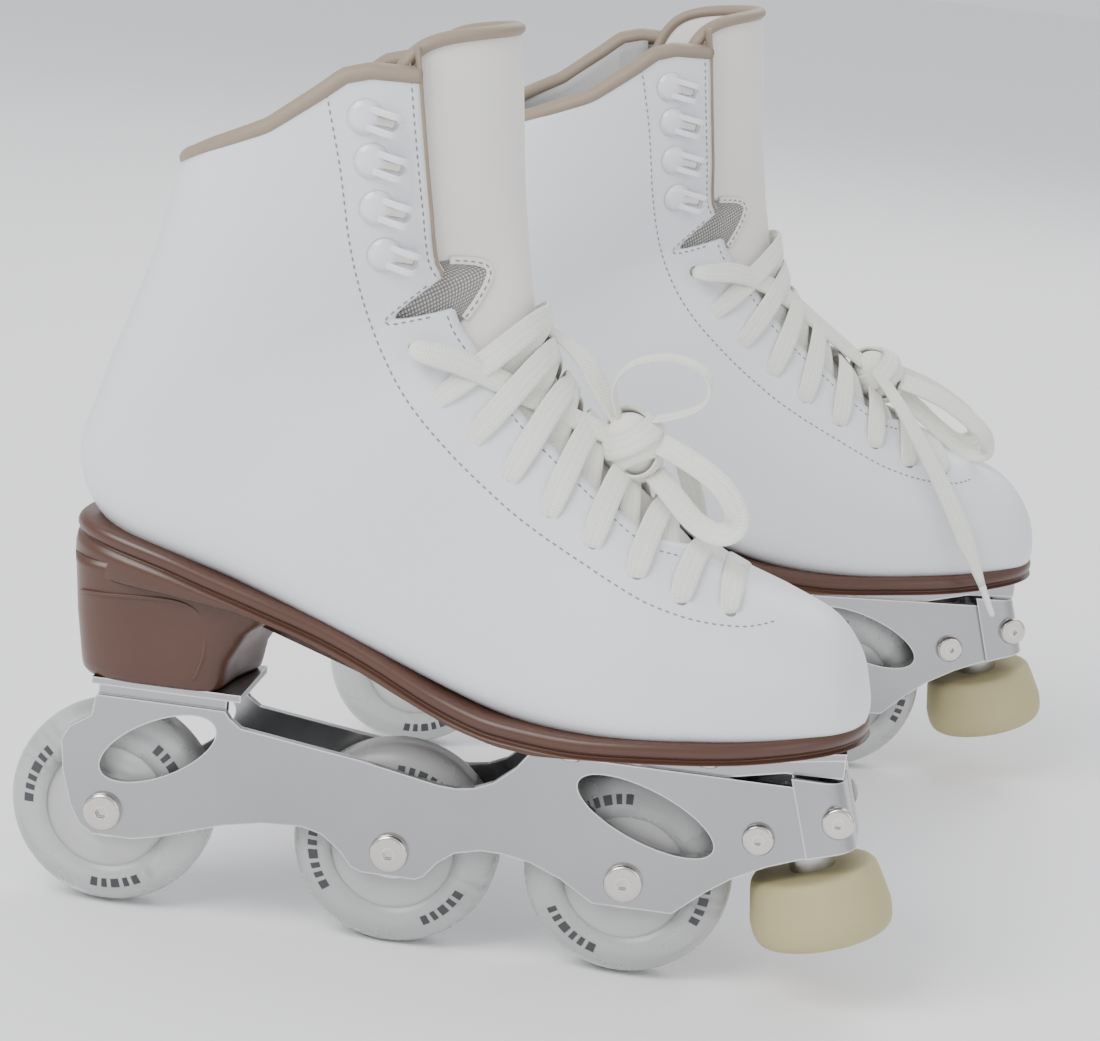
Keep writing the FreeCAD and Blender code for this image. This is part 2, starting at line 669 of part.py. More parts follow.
def make_lining(prefix, side):
    start = dim("upper_wall") + dim("layer_gap")
    positions = list(range(4, len(STATIONS)))
    solid = wrap_solid(positions, start, start + dim("lining_wall"), under_angles(15, 25), side)
    return feature(prefix + "lining", solid.cut(above_collar(4.0)).cut(below_welt()))


def make_collar_binding(prefix, side):
    """Rolled trim over the shaft's top edge, a band that caps the upper and its lining."""
    inside = dim("upper_wall") + dim("layer_gap") + dim("lining_wall") + 0.6
    positions = list(range(10, len(STATIONS)))
    solid = wrap_solid(positions, -1.2, inside, under_angles(0, 25), side)
    solid = solid.common(above_collar(4.0)).cut(above_collar(-1.2))
    return feature(prefix + "collar_binding", solid)


def make_footbed(prefix, side):
    start = dim("upper_wall") + 2 * dim("layer_gap") + dim("lining_wall") + 1.2
    def angles(row):
        return [math.radians(-90 - 52 + 104 * i / 12) for i in range(13)]
    solid = wrap_solid([1.6, 2, 3, 4, 5, 6, 7, 8, 8.8], start, start + dim("footbed_wall"), angles, side)
    return feature(prefix + "footbed", solid)


TONGUE_SPLIT = 10.5


def make_tongue(prefix, side, upper_leather):
    """Padded tongue in two pieces: the lower one tucks under the facings, the upper one tilts."""
    start = dim("upper_wall") + dim("layer_gap")
    wall = dim("tongue_wall")
    gap = dim("tongue_split_gap") / 10
    low_rows = [4.6, 5, 6, 7, 8, 9, 10, TONGUE_SPLIT - gap]
    lower = wrap_solid(low_rows, start, start + wall, over_angles(-9, 15), side)
    lower = max(lower.cut(upper_leather.Shape).Solids, key=lambda part: part.Volume)
    high_rows = [TONGUE_SPLIT + gap, 11, 12, 13, 14]
    upper = wrap_solid(high_rows, start, start + wall, over_angles(2.5, 15), side)
    return [feature(prefix + "tongue_lower", lower), feature(prefix + "tongue_upper", upper)]


SOLE_PLAN = [(-0.5, 0.0), (1.5, 14.0), (11.5, 24.5), (32.0, 30.5), (67.5, 33.0), (97.5, 34.0)]
SOLE_PLAN += [(127.5, 38.0), (157.5, 44.0), (187.5, 47.5), (217.5, 46.5), (242.5, 41.0)]
SOLE_PLAN += [(260.5, 31.5), (271.5, 18.0), (275.5, 0.0)]


def make_sole(prefix, side):
    """Moulded sole with its heel: a side profile trimmed to the plan outline."""
    top = [(boot_x(x), boot_z(z)) for x, z in WELT]
    start = FRONT_PLATE_X - 3.0
    toe = boot_x(276.0)
    rise = front_plate_top(toe)
    under = [(toe, rise + 6.5), (toe - 3.0, rise + 1.5), (toe - 9.0, front_plate_top(toe - 9.0))]
    under.append((start, front_plate_top(start)))
    # shank, then the heel's breast, seat and back, measured back from the front plate and up from the seat
    shank = [(12.0, 0.4), (24.0, 4.2), (43.0, 12.2), (62.0, 20.6), (79.0, 26.6), (95.0, 32.0)]
    heel = [(97.5, 26.0), (99.5, 7.0), (101.5, 2.0), (104.0, 0.0)]
    under += [(start - x, HEEL_SEAT + z) for x, z in shank + heel]
    back = [(5.5, 0.0), (2.8, 3.0), (1.0, 20.0), (-3.0, 40.0)]
    under += [(boot_x(x), HEEL_SEAT + z) for x, z in back]
    side_block = prism(under + top, -70, 70)
    mirrored = [(x, -y) for x, y in SOLE_PLAN[-2:0:-1]]
    # the toe swings towards the big toe's side, ahead of the arch
    swung = [(x, y + side * 5.0 * max(0.0, (x - 120.0) / 150.0) ** 2) for x, y in SOLE_PLAN + mirrored]
    outline = Part.BSplineCurve()
    outline.interpolate([Vector(boot_x(x), y, 0) for x, y in swung], PeriodicFlag=True)
    plan = Part.Face(Part.Wire(outline.toShape())).extrude(Vector(0, 0, HEEL_SEAT * 3))
    solid = side_block.common(plan)
    for x, y, z in mount_screw_places():
        hole = Part.makeCylinder(dim("screw_diameter") / 2, dim("screw_reach") + 2.0, Vector(x, y, z - 1.0))
        solid = solid.cut(hole)
    return feature(prefix + "sole", solid)


HOOK_SPOTS = [(92.1, 201.4), (95.2, 187.2), (97.7, 172.5), (101.1, 157.0)]


def surface_spot(x, z, side, sign):
    """Where a line across the boot meets the upper's outside at that x and z."""
    best = None
    for i in range(60):
        row = blend_stations(9 + 5 * i / 60)
        x0, z0, x1, z1 = boot_x(row[0]), boot_z(row[1]), boot_x(row[2]), boot_z(row[3])
        length = math.hypot(x1 - x0, z1 - z0)
        share = ((x - x0) * (x1 - x0) + (z - z0) * (z1 - z0)) / length ** 2
        miss = math.hypot(x - x0 - share * (x1 - x0), z - z0 - share * (z1 - z0))
        if best is None or miss < best[0]:
            best = (miss, row, share)
    _, row, share = best
    y = 0.0
    for i in range(181):
        angle = math.radians(i - 90)
        if section_share(angle, row[5], row[6]) >= share:
            y = section_point(row, 0, angle, side).y
            break
    return sign * y


def make_hooks(prefix, side, upper):
    """Speed-lace hooks: a riveted base on the leather with a neck and a forked lip that points forward."""
    pieces = []
    base = dim("hook_base_diameter") / 2
    for i, (spot_x, spot_z) in enumerate(HOOK_SPOTS):
        x, z = boot_x(spot_x), boot_z(spot_z)
        for sign in (-1, 1):
            y = surface_spot(x, z, side, sign)
            out = Vector(0, sign, 0)
            disc = Part.makeCylinder(base, 1.6, Vector(x, y, z), out)
            rivet = Part.makeCylinder(1.6, 3.4, Vector(x, y, z), out)
            arm = Part.makeBox(9.0, 1.3, 6.4, Vector(x + 1.0, min(y + sign * 2.6, y + sign * 3.9), z - 2.2))
            neck = Part.makeBox(2.0, 3.9, 5.0, Vector(x + 1.0, min(y, y + sign * 3.9), z - 1.6))
            lip = Part.makeBox(1.4, 3.0, 6.4, Vector(x + 8.6, min(y + sign * 0.9, y + sign * 3.9), z - 2.2))
            gap = Part.makeBox(7.0, 8.0, 1.6, Vector(x + 4.2, y - 4.0, z + 0.2))
            solid = disc.fuse([rivet, arm, neck, lip]).cut(gap).removeSplitter().cut(upper.Shape)
            pieces.append(feature("%shook_%d_%d" % (prefix, i, sign), solid))
    return group(prefix + "hooks", pieces)


LACE_ROWS = [8.35, 7.72, 7.2, 6.75, 6.32, 5.9, 5.5, 5.1, 4.72]


def clear_of(solid, tools, clearance=0.4):
    """The solid with the tools taken away where they touch it, kept as one piece."""
    for tool in tools:
        if solid.distToShape(tool)[0] < clearance:
            solid = max(solid.cut(tool).Solids, key=lambda part: part.Volume)
    return solid


def make_lace(prefix, side, knot, sleeves):
    """The laced part: nine flat bars over the throat from eyelet to eyelet, and the knot of the bow."""
    pieces = [knot]
    out = -dim("lace_clearance") - dim("lace_thickness")
    def angles(row):
        edge = share_to_angle(row[7] - 0.05, row[6])
        return [edge + (math.pi - 2 * edge) * i / 12 for i in range(13)]
    for i, place in enumerate(LACE_ROWS):
        row = blend_stations(place)
        nearby = blend_stations(place + 0.2)
        ahead, rise = boot_x(nearby[2]) - boot_x(row[2]), boot_z(nearby[3]) - boot_z(row[3])
        half = dim("lace_width") / 2 / (math.hypot(ahead, rise) / 0.2)
        spread = [place - half, place - half / 3, place + half / 3, place + half]
        solid = wrap_solid(spread, out, -dim("lace_clearance"), angles, side)
        pieces.append(feature("%slace_bar_%d" % (prefix, i), clear_of(solid, sleeves)))
    return group(prefix + "lace", pieces)


# ---------------------------------------------------------------- the bow, a free cord


def cord_tube(points, radius):
    """A tube along straight runs joined by tangent arcs, each as large as its two runs allow."""
    points = [Vector(*p) for p in points]
    edges = []
    start = points[0]
    radii = []
    for before, corner, after in zip(points, points[1:], points[2:]):
        run_in = corner - before
        run_out = after - corner
        turn = run_in.getAngle(run_out)
        reach = 0.45 * min(run_in.Length, run_out.Length)
        radii.append(reach / math.tan(turn / 2))
        into = corner - run_in.normalize() * reach
        away = corner + run_out.normalize() * reach
        bend = reach / math.tan(turn / 2)
        nearest = bend / math.cos(turn / 2) - bend
        middle = corner + (into - corner + away - corner).normalize() * nearest
        edges.append(Part.LineSegment(start, into).toShape())
        edges.append(Part.Arc(into, middle, away).toShape())
        start = away
    edges.append(Part.LineSegment(start, points[-1]).toShape())
    path = Part.Wire(edges)
    circle = Part.Wire(Part.makeCircle(radius, points[0], points[1] - points[0]))
    tube = path.makePipeShell([circle], True, False)
    expected = math.pi * radius ** 2 * path.Length
    ratio = tube.Volume / expected
    print("  cord %.0f mm, radii %s, volume ratio %.3f" % (path.Length, [round(r, 1) for r in radii], ratio))
    return tube


# Routes in each skate's own frame. Each loop and each end is a cord of its own out of the knot.
BOWS = {
    "right_": {
        "knot": (168.5, -5.0, 188.0),
        "loops": [
            [(163.0, -5.0, 194.0), (158.5, -7.0, 203.0), (164.0, -9.0, 213.0), (177.0, -10.0, 217.5),
             (190.5, -10.0, 214.5), (193.5, -9.0, 204.5), (184.5, -8.0, 197.5), (174.5, -6.0, 195.0)],
            [(177.5, -8.0, 190.0), (190.0, -14.0, 188.0), (202.5, -19.0, 181.5), (209.0, -21.5, 171.5),
             (203.5, -20.5, 163.5), (193.5, -17.5, 165.5), (185.5, -14.0, 173.0), (178.0, -10.0, 179.5)],
        ],
        "ends": [
            [(172.0, 6.0, 187.0), (178.0, 19.0, 185.0), (184.0, 33.0, 174.0), (189.0, 44.0, 156.0),
             (192.0, 50.5, 136.0), (196.0, 52.5, 116.0)],
            [(166.0, 7.0, 189.0), (162.0, 21.0, 189.0), (158.0, 35.0, 179.0), (155.0, 45.0, 161.0),
             (151.0, 49.5, 141.0), (150.0, 49.5, 121.0)],
        ],
    },
    "left_": {
        "knot": (183.0, -3.0, 174.5),
        "loops": [
            [(192.0, -9.0, 173.0), (205.0, -14.0, 171.5), (218.5, -18.0, 165.5), (229.5, -19.5, 158.5),
             (232.0, -17.0, 150.5), (225.0, -13.0, 146.5), (213.0, -10.0, 153.5), (202.5, -8.0, 161.0),
             (192.0, -6.0, 166.5)],
            [(193.0, 2.0, 174.5), (206.5, 5.0, 171.5), (220.5, 8.0, 164.5), (231.0, 9.0, 157.5),
             (233.5, 8.5, 149.5), (226.5, 7.5, 145.5), (214.5, 6.5, 153.0), (203.5, 5.0, 161.5),
             (193.0, 3.5, 167.5)],
        ],
        "ends": [
            [(181.0, -12.0, 174.0), (186.0, -24.0, 167.0), (195.0, -37.0, 152.0), (205.0, -48.0, 134.0),
             (215.0, -54.5, 115.0), (224.0, -56.0, 96.0)],
            [(177.0, 6.0, 177.0), (172.0, 20.0, 178.0), (167.0, 34.0, 168.5), (164.0, 44.0, 151.0),
             (161.0, 49.0, 131.0), (161.0, 50.0, 111.0)],
        ],
    },
}


def sleeve(points, radius):
    """The room a cord takes up: a slightly wider tube that starts and stops a little beyond it."""
    first, second = Vector(*points[0]), Vector(*points[1])
    last, before = Vector(*points[-1]), Vector(*points[-2])
    start = first + (first - second).normalize() * SLEEVE_GAP
    stop = last + (last - before).normalize() * SLEEVE_GAP
    return cord_tube([start] + points[1:-1] + [stop], radius + SLEEVE_GAP)


SLEEVE_GAP = 0.25
KNOT_RADIUS = 10.0


def make_bow(prefix):
    """Knot, two loops and two ends with their tips, which stay as they were laid."""
    bow = BOWS[prefix]
    radius = dim("lace_tube") / 2
    knot = Part.makeSphere(KNOT_RADIUS, Vector(*bow["knot"]))
    cords = []
    sleeves = []
    for kind in ("loop", "end"):
        for i, points in enumerate(bow[kind + "s"], start=1):
            cords.append(feature("%slace_%s_%d" % (prefix, kind, i), cord_tube(points, radius)))
            sleeves.append(sleeve(points, radius))
    tips = []
    for i, points in enumerate(bow["ends"]):
        last = Vector(*points[-1])
        heading = (last - Vector(*points[-2])).normalize()
        tips.append(feature("%stip_%d" % (prefix, i), Part.makeCylinder(2.0, 14.0, last, heading)))
    knot = feature(prefix + "lace_knot", clear_of(knot, sleeves))
    return knot, sleeves, cords, group(prefix + "aglets", tips)


# ---------------------------------------------------------------- the pair


def make_skate(prefix, side):
    print("building", prefix)
    nodes = []
    for which, x, z in WHEELS:
        nodes += make_wheel(prefix, which, x, z)
    bolts = group(prefix + "frame_bolts", make_axle_bolts(prefix) + make_bracket_bolts(prefix))
    nodes += [make_inner_rings(prefix), bolts, make_frame(prefix), make_mount_screws(prefix)]
    nodes += [make_bracket(prefix), make_stem(prefix), make_pad(prefix)]
    upper = make_upper(prefix, side)
    nodes += [upper, make_lining(prefix, side), make_collar_binding(prefix, side)]
    nodes += [make_footbed(prefix, side), make_sole(prefix, side), make_hooks(prefix, side, upper)]
    nodes += make_tongue(prefix, side, upper)
    knot, sleeves, cords, aglets = make_bow(prefix)
    nodes += [make_lace(prefix, side, knot, sleeves), aglets]
    return nodes + cords


CORD_NODES = ("lace_loop_1", "lace_loop_2", "lace_end_1", "lace_end_2", "aglets")
RIGHT_PLACE = Placement()
LEFT_PLACE = Placement(
    Vector(dim("left_ahead"), dim("pair_spacing"), 0), Rotation(Vector(0, 0, 1), dim("left_turn"))
)
skates = {"right_": (make_skate("right_", 1), RIGHT_PLACE), "left_": (make_skate("left_", -1), LEFT_PLACE)}
doc.recompute()

# The origin is under the middle of the pair's box, so every sub-part is shifted by the same amount.
box = FreeCAD.BoundBox()
for prefix, (nodes, place) in skates.items():
    for node in nodes:
        if node.Name.replace(prefix, "") not in CORD_NODES:
            shape = node.Shape.copy()
            shape.transformShape(place.toMatrix(), True)
            box.add(shape.optimalBoundingBox())
SHIFT = Vector(-box.Center.x, -box.Center.y, -box.ZMin)
print("box", [round(v, 2) for v in (box.XLength, box.YLength, box.ZLength)], "shift", SHIFT)
for prefix, (nodes, place) in skates.items():
    for node in nodes:
        node.Label = node.Name
        node.Placement = Placement(SHIFT, Rotation()).multiply(place)
doc.recompute()

broken = [o.Name for o in doc.Objects if "Invalid" in o.State or "Error" in o.State]
final = [node for nodes, _ in skates.values() for node in nodes]
for node in final:
    if node.Shape.isNull() or not node.Shape.isValid() or not node.Shape.Solids:
        broken.append(node.Label)
if broken:
    raise RuntimeError("these sub-parts failed: %s" % broken)

os.makedirs("parts", exist_ok=True)
for node in final:
    node.Shape.exportStep("parts/%s.step" % node.Label)
print("wrote", len(final), "sub-parts")
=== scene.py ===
import json
import math
import bmesh
import bpy
import numpy as np
from mathutils import Matrix, Vector


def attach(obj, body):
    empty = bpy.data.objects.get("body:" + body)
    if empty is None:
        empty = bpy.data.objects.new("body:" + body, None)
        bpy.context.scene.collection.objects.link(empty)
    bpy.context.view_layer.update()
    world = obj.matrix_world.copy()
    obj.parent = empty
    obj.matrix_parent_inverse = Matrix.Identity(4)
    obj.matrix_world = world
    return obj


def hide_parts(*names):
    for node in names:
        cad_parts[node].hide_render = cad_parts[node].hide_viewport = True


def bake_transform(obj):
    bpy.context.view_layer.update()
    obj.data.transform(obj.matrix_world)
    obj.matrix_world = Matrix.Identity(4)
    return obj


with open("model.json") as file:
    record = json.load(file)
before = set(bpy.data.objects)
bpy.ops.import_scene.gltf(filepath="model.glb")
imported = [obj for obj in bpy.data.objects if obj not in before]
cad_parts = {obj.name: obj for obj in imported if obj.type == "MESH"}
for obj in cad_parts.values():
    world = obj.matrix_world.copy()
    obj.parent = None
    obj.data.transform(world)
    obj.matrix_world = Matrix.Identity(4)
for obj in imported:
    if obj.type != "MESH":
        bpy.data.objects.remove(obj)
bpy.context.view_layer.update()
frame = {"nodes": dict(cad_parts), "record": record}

mm = 0.001


# Where each skate stands: its rear axle, the way its toe points, and the side of its big toe.
def skatePlace(prefix, bigToe):
    joints = {j["name"]: j for j in frame["record"]["behaviour"]["joints"]}
    rear = np.array(joints[prefix + "_wheel_rear_spin"]["pos_m"])
    front = np.array(joints[prefix + "_wheel_front_spin"]["pos_m"])
    ahead = (front - rear) * (1, 1, 0)
    ahead /= np.linalg.norm(ahead)
    left = np.array((-ahead[1], ahead[0], 0))
    axes = np.stack([ahead, left, (0, 0, 1)])
    axles = [np.array(joints[f"{prefix}_wheel_{w}_spin"]["pos_m"]) for w in ("rear", "middle", "front")]
    local = [(axes @ (a - rear * (1, 1, 0))) / mm for a in axles]
    return {"name": prefix, "origin": rear * (1, 1, 0), "axes": axes, "bigToe": bigToe, "axles": local}


def toRow(place, points):   # skate millimetres to row metres
    return np.asarray(points, float) * mm @ place["axes"] + place["origin"]


skates = [skatePlace("right", 1), skatePlace("left", -1)]

# camera: about 1.05 m away, a little above the floor, rolled slightly
camera = {"turn": 6.17, "drop": 12.65, "roll": 5.88, "at": (256.6, -1047.6, 384.4), "lens": 104.4, "rise": 0.0186}


def makeCamera(spec, place):
    turn, drop, roll = (math.radians(spec[k]) for k in ("turn", "drop", "roll"))
    look = Vector((-math.sin(turn) * math.cos(drop), math.cos(turn) * math.cos(drop), -math.sin(drop)))
    right = look.cross(Vector((0, 0, 1))).normalized()
    up = right.cross(look)
    xAxis = math.cos(roll) * right + math.sin(roll) * up
    yAxis = -math.sin(roll) * right + math.cos(roll) * up
    data = bpy.data.cameras.new("camera")
    data.lens = spec["lens"]
    data.shift_y = spec["rise"]
    data.clip_start = 0.05
    obj = bpy.data.objects.new("camera", data)
    at = Vector(toRow(place, spec["at"]))
    obj.matrix_world = Matrix([(*row, at[i]) for i, row in enumerate(zip(xAxis, yAxis, -look))] + [(0, 0, 0, 1)])
    bpy.context.scene.collection.objects.link(obj)
    bpy.context.scene.camera = obj


makeCamera(camera, skates[0])

stageLook = {"floor": (0.93, 0.93, 0.94), "size": 8.0, "sky": (0.95, 0.97, 1.0), "skyStrength": 0.92}
lamps = [
    {"name": "key", "at": (-1.2, -1.6, 2.0), "size": 1.6, "watts": 64},
    {"name": "fill", "at": (1.9, -1.5, 1.0), "size": 1.5, "watts": 9},
    {"name": "rim", "at": (0.4, 1.9, 1.8), "size": 1.4, "watts": 24},
]


def makeStage(look):
    data = bpy.data.meshes.new("floor")
    s = look["size"]
    data.from_pydata([(-s, -s, 0), (s, -s, 0), (s, s, 0), (-s, s, 0)], [], [(0, 1, 2, 3)])
    floor = bpy.data.objects.new("floor", data)
    bpy.context.scene.collection.objects.link(floor)
    material = bpy.data.materials.new("floor")
    material.use_nodes = True
    shader = material.node_tree.nodes["Principled BSDF"]
    shader.inputs["Base Color"].default_value = (*look["floor"], 1)
    shader.inputs["Roughness"].default_value = 0.85
    shader.inputs["Specular IOR Level"].default_value = 0.15
    data.materials.append(material)
    world = bpy.data.worlds.new("studio")
    world.use_nodes = True
    back = world.node_tree.nodes["Background"]
    back.inputs["Color"].default_value = (*look["sky"], 1)
    back.inputs["Strength"].default_value = look["skyStrength"]
    bpy.context.scene.world = world


def makeLamps():
    for spec in lamps:
        data = bpy.data.lights.new(spec["name"], "AREA")
        data.size = spec["size"]
        data.energy = spec["watts"]
        obj = bpy.data.objects.new(spec["name"], data)
        obj.location = spec["at"]
        aim = Vector((0, 0, 0.15)) - Vector(spec["at"])
        obj.rotation_euler = aim.to_track_quat("-Z", "Y").to_euler()
        bpy.context.scene.collection.objects.link(obj)


makeStage(stageLook)
makeLamps()
print("stage and camera")


# ------- small helpers for shader trees, then the effects shared by several materials
def addNode(tree, kind, values=None, **settings):
    node = tree.nodes.new(kind)
    for key, value in settings.items():
        setattr(node, key, value)
    for key, value in (values or {}).items():
        node.inputs[key].default_value = value
    return node


def wire(tree, *pairs):
    for a, b in pairs:
        tree.links.new(a, b)


def newGroup(name, inputs, outputs):
    tree = bpy.data.node_groups.new(name, "ShaderNodeTree")
    for label, kind, value in inputs:
        socket = tree.interface.new_socket(label, in_out="INPUT", socket_type=kind)
        if value is not None:
            socket.default_value = value
    for label, kind in outputs:
        tree.interface.new_socket(label, in_out="OUTPUT", socket_type=kind)
    return tree, tree.nodes.new("NodeGroupInput"), tree.nodes.new("NodeGroupOutput")


def makeMottleGroup():   # slow cloudy variation between two colours, with a 0-1 mask
    inputs = [("Vector", "NodeSocketVector", None), ("Scale", "NodeSocketFloat", 40.0),
              ("Low", "NodeSocketColor", (0.5, 0.5, 0.5, 1)), ("High", "NodeSocketColor", (0.6, 0.6, 0.6, 1))]
    outputs = [("Color", "NodeSocketColor"), ("Mask", "NodeSocketFloat")]
    tree, gin, gout = newGroup("mottle", inputs, outputs)
    noise = addNode(tree, "ShaderNodeTexNoise", {"Detail": 5.0, "Roughness": 0.55})
    mix = addNode(tree, "ShaderNodeMix", data_type="RGBA")
    wire(tree, (gin.outputs["Vector"], noise.inputs["Vector"]), (gin.outputs["Scale"], noise.inputs["Scale"]),
         (noise.outputs["Fac"], mix.inputs[0]), (gin.outputs["Low"], mix.inputs[6]),
         (gin.outputs["High"], mix.inputs[7]),
         (mix.outputs[2], gout.inputs["Color"]), (noise.outputs["Fac"], gout.inputs["Mask"]))
    return tree


def makeGrainGroup():   # pebbled grain: cell distance under fine noise, as a height
    tree, gin, gout = newGroup("grain", [("Vector", "NodeSocketVector", None), ("Scale", "NodeSocketFloat", 900.0),
                               ("Fine", "NodeSocketFloat", 0.3)], [("Height", "NodeSocketFloat")])
    cells = addNode(tree, "ShaderNodeTexVoronoi", feature="SMOOTH_F1")
    noise = addNode(tree, "ShaderNodeTexNoise", {"Detail": 3.0, "Scale": 2200.0})
    fine = addNode(tree, "ShaderNodeMath", operation="MULTIPLY")
    total = addNode(tree, "ShaderNodeMath", operation="ADD")
    wire(tree, (gin.outputs["Vector"], cells.inputs["Vector"]), (gin.outputs["Scale"], cells.inputs["Scale"]),
         (gin.outputs["Vector"], noise.inputs["Vector"]), (noise.outputs["Fac"], fine.inputs[0]),
         (gin.outputs["Fine"], fine.inputs[1]), (cells.outputs["Distance"], total.inputs[0]),
         (fine.outputs[0], total.inputs[1]), (total.outputs[0], gout.inputs["Height"]))
    return tree


def makeEdgeGroup():   # brightens edges: how far a bevelled normal leans from the true one; on metal this paints a highlight along the edges, on moulded parts a paler edge
    tree, gin, gout = newGroup("edgeMask", [("Radius", "NodeSocketFloat", 0.0006), ("Gain", "NodeSocketFloat", 6.0)],
                               [("Mask", "NodeSocketFloat")])
    bevel = addNode(tree, "ShaderNodeBevel", samples=4)
    geometry = addNode(tree, "ShaderNodeNewGeometry")
    dot = addNode(tree, "ShaderNodeVectorMath", operation="DOT_PRODUCT")
    lean = addNode(tree, "ShaderNodeMath", {0: 1.0}, operation="SUBTRACT")
    gain = addNode(tree, "ShaderNodeMath", operation="MULTIPLY", use_clamp=True)
    wire(tree, (gin.outputs["Radius"], bevel.inputs["Radius"]), (bevel.outputs[0], dot.inputs[0]),
         (geometry.outputs["Normal"], dot.inputs[1]), (dot.outputs["Value"], lean.inputs[1]),
         (lean.outputs[0], gain.inputs[0]), (gin.outputs["Gain"], gain.inputs[1]),
         (gain.outputs[0], gout.inputs["Mask"]))
    return tree


def makeWeaveGroup():   # plain weave on a UV map: two crossed sets of threads, over and under in turn
    tree, gin, gout = newGroup("weave", [("Vector", "NodeSocketVector", None), ("Across", "NodeSocketFloat", 40.0),
                               ("Along", "NodeSocketFloat", 40.0)], [("Height", "NodeSocketFloat")])
    split = addNode(tree, "ShaderNodeSeparateXYZ")
    wire(tree, (gin.outputs["Vector"], split.inputs[0]))
    waves = []
    for axis, rate in (("X", "Across"), ("Y", "Along")):
        count = addNode(tree, "ShaderNodeMath", operation="MULTIPLY")
        sine = addNode(tree, "ShaderNodeMath", operation="SINE")
        wire(tree, (split.outputs[axis], count.inputs[0]), (gin.outputs[rate], count.inputs[1]),
             (count.outputs[0], sine.inputs[0]))
        waves.append(sine)
    both = addNode(tree, "ShaderNodeMath", operation="MULTIPLY")
    size = addNode(tree, "ShaderNodeMath", operation="ABSOLUTE")
    wire(tree, (waves[0].outputs[0], both.inputs[0]), (waves[1].outputs[0], both.inputs[1]),
         (both.outputs[0], size.inputs[0]), (size.outputs[0], gout.inputs["Height"]))
    return tree


mottleGroup, grainGroup, edgeGroup, weaveGroup = makeMottleGroup(), makeGrainGroup(), makeEdgeGroup(), makeWeaveGroup()


def placeGroup(tree, group, values=None, vector=None):
    node = addNode(tree, "ShaderNodeGroup", node_tree=group)
    for key, value in (values or {}).items():
        node.inputs[key].default_value = value
    if vector is not None:
        wire(tree, (vector, node.inputs["Vector"]))
    return node


def startMaterial(name, values, coords="Object"):
    material = bpy.data.materials.new(name)
    material.use_nodes = True
    tree = material.node_tree
    shader = tree.nodes["Principled BSDF"]
    for key, value in values.items():
        shader.inputs[key].default_value = value
    where = addNode(tree, "ShaderNodeTexCoord")
    return material, tree, shader, where.outputs[coords]


def addBump(tree, shader, height, strength, distance):
    bump = addNode(tree, "ShaderNodeBump", {"Strength": strength, "Distance": distance})
    wire(tree, (height, bump.inputs["Height"]), (bump.outputs[0], shader.inputs["Normal"]))


def spread(tree, mask, low, high, target):   # a mask carried to a range of values on one socket
    lane = addNode(tree, "ShaderNodeMapRange", {"To Min": low, "To Max": high})
    wire(tree, (mask, lane.inputs["Value"]), (lane.outputs[0], target))


def leatherMaterial(name, low, high, grain, roughness, sheen=0.0, coat=0.0):
    values = {"Sheen Weight": sheen, "Coat Weight": coat, "Coat Roughness": 0.35, "Specular IOR Level": 0.4}
    material, tree, shader, vector = startMaterial(name, values)
    tone = placeGroup(tree, mottleGroup, {"Scale": 14.0, "Low": (*low, 1), "High": (*high, 1)}, vector)
    skin = placeGroup(tree, grainGroup, {"Scale": grain, "Fine": 0.25}, vector)
    wire(tree, (tone.outputs["Color"], shader.inputs["Base Color"]))
    spread(tree, tone.outputs["Mask"], roughness[0], roughness[1], shader.inputs["Roughness"])
    addBump(tree, shader, skin.outputs["Height"], 0.16, 0.0003)
    return material


def metalMaterial(name, low, high, roughness, brushed=(0, 0, 0), edge=0.0006, metallic=1.0):
    material, tree, shader, vector = startMaterial(name, {"Metallic": metallic})
    tone = placeGroup(tree, mottleGroup, {"Scale": 18.0, "Low": (*low, 1), "High": (*high, 1)}, vector)
    # the edges are painted near white: a painted highlight where light catches the metal's edges
    edgeAmount = placeGroup(tree, edgeGroup, {"Radius": edge, "Gain": 7.0})
    paintedHighlight = addNode(tree, "ShaderNodeMix", {7: (0.95, 0.95, 0.95, 1)}, data_type="RGBA")
    wire(tree, (edgeAmount.outputs["Mask"], paintedHighlight.inputs[0]), (tone.outputs["Color"], paintedHighlight.inputs[6]),
         (paintedHighlight.outputs[2], shader.inputs["Base Color"]))
    spread(tree, tone.outputs["Mask"], roughness[0], roughness[1], shader.inputs["Roughness"])
    if any(brushed):
        stretch = addNode(tree, "ShaderNodeMapping", {"Scale": brushed})
        lines = addNode(tree, "ShaderNodeTexNoise", {"Scale": 1.0, "Detail": 3.0})
        wire(tree, (vector, stretch.inputs[0]), (stretch.outputs[0], lines.inputs["Vector"]))
        addBump(tree, shader, lines.outputs["Fac"], 0.10, 0.0001)
    return material


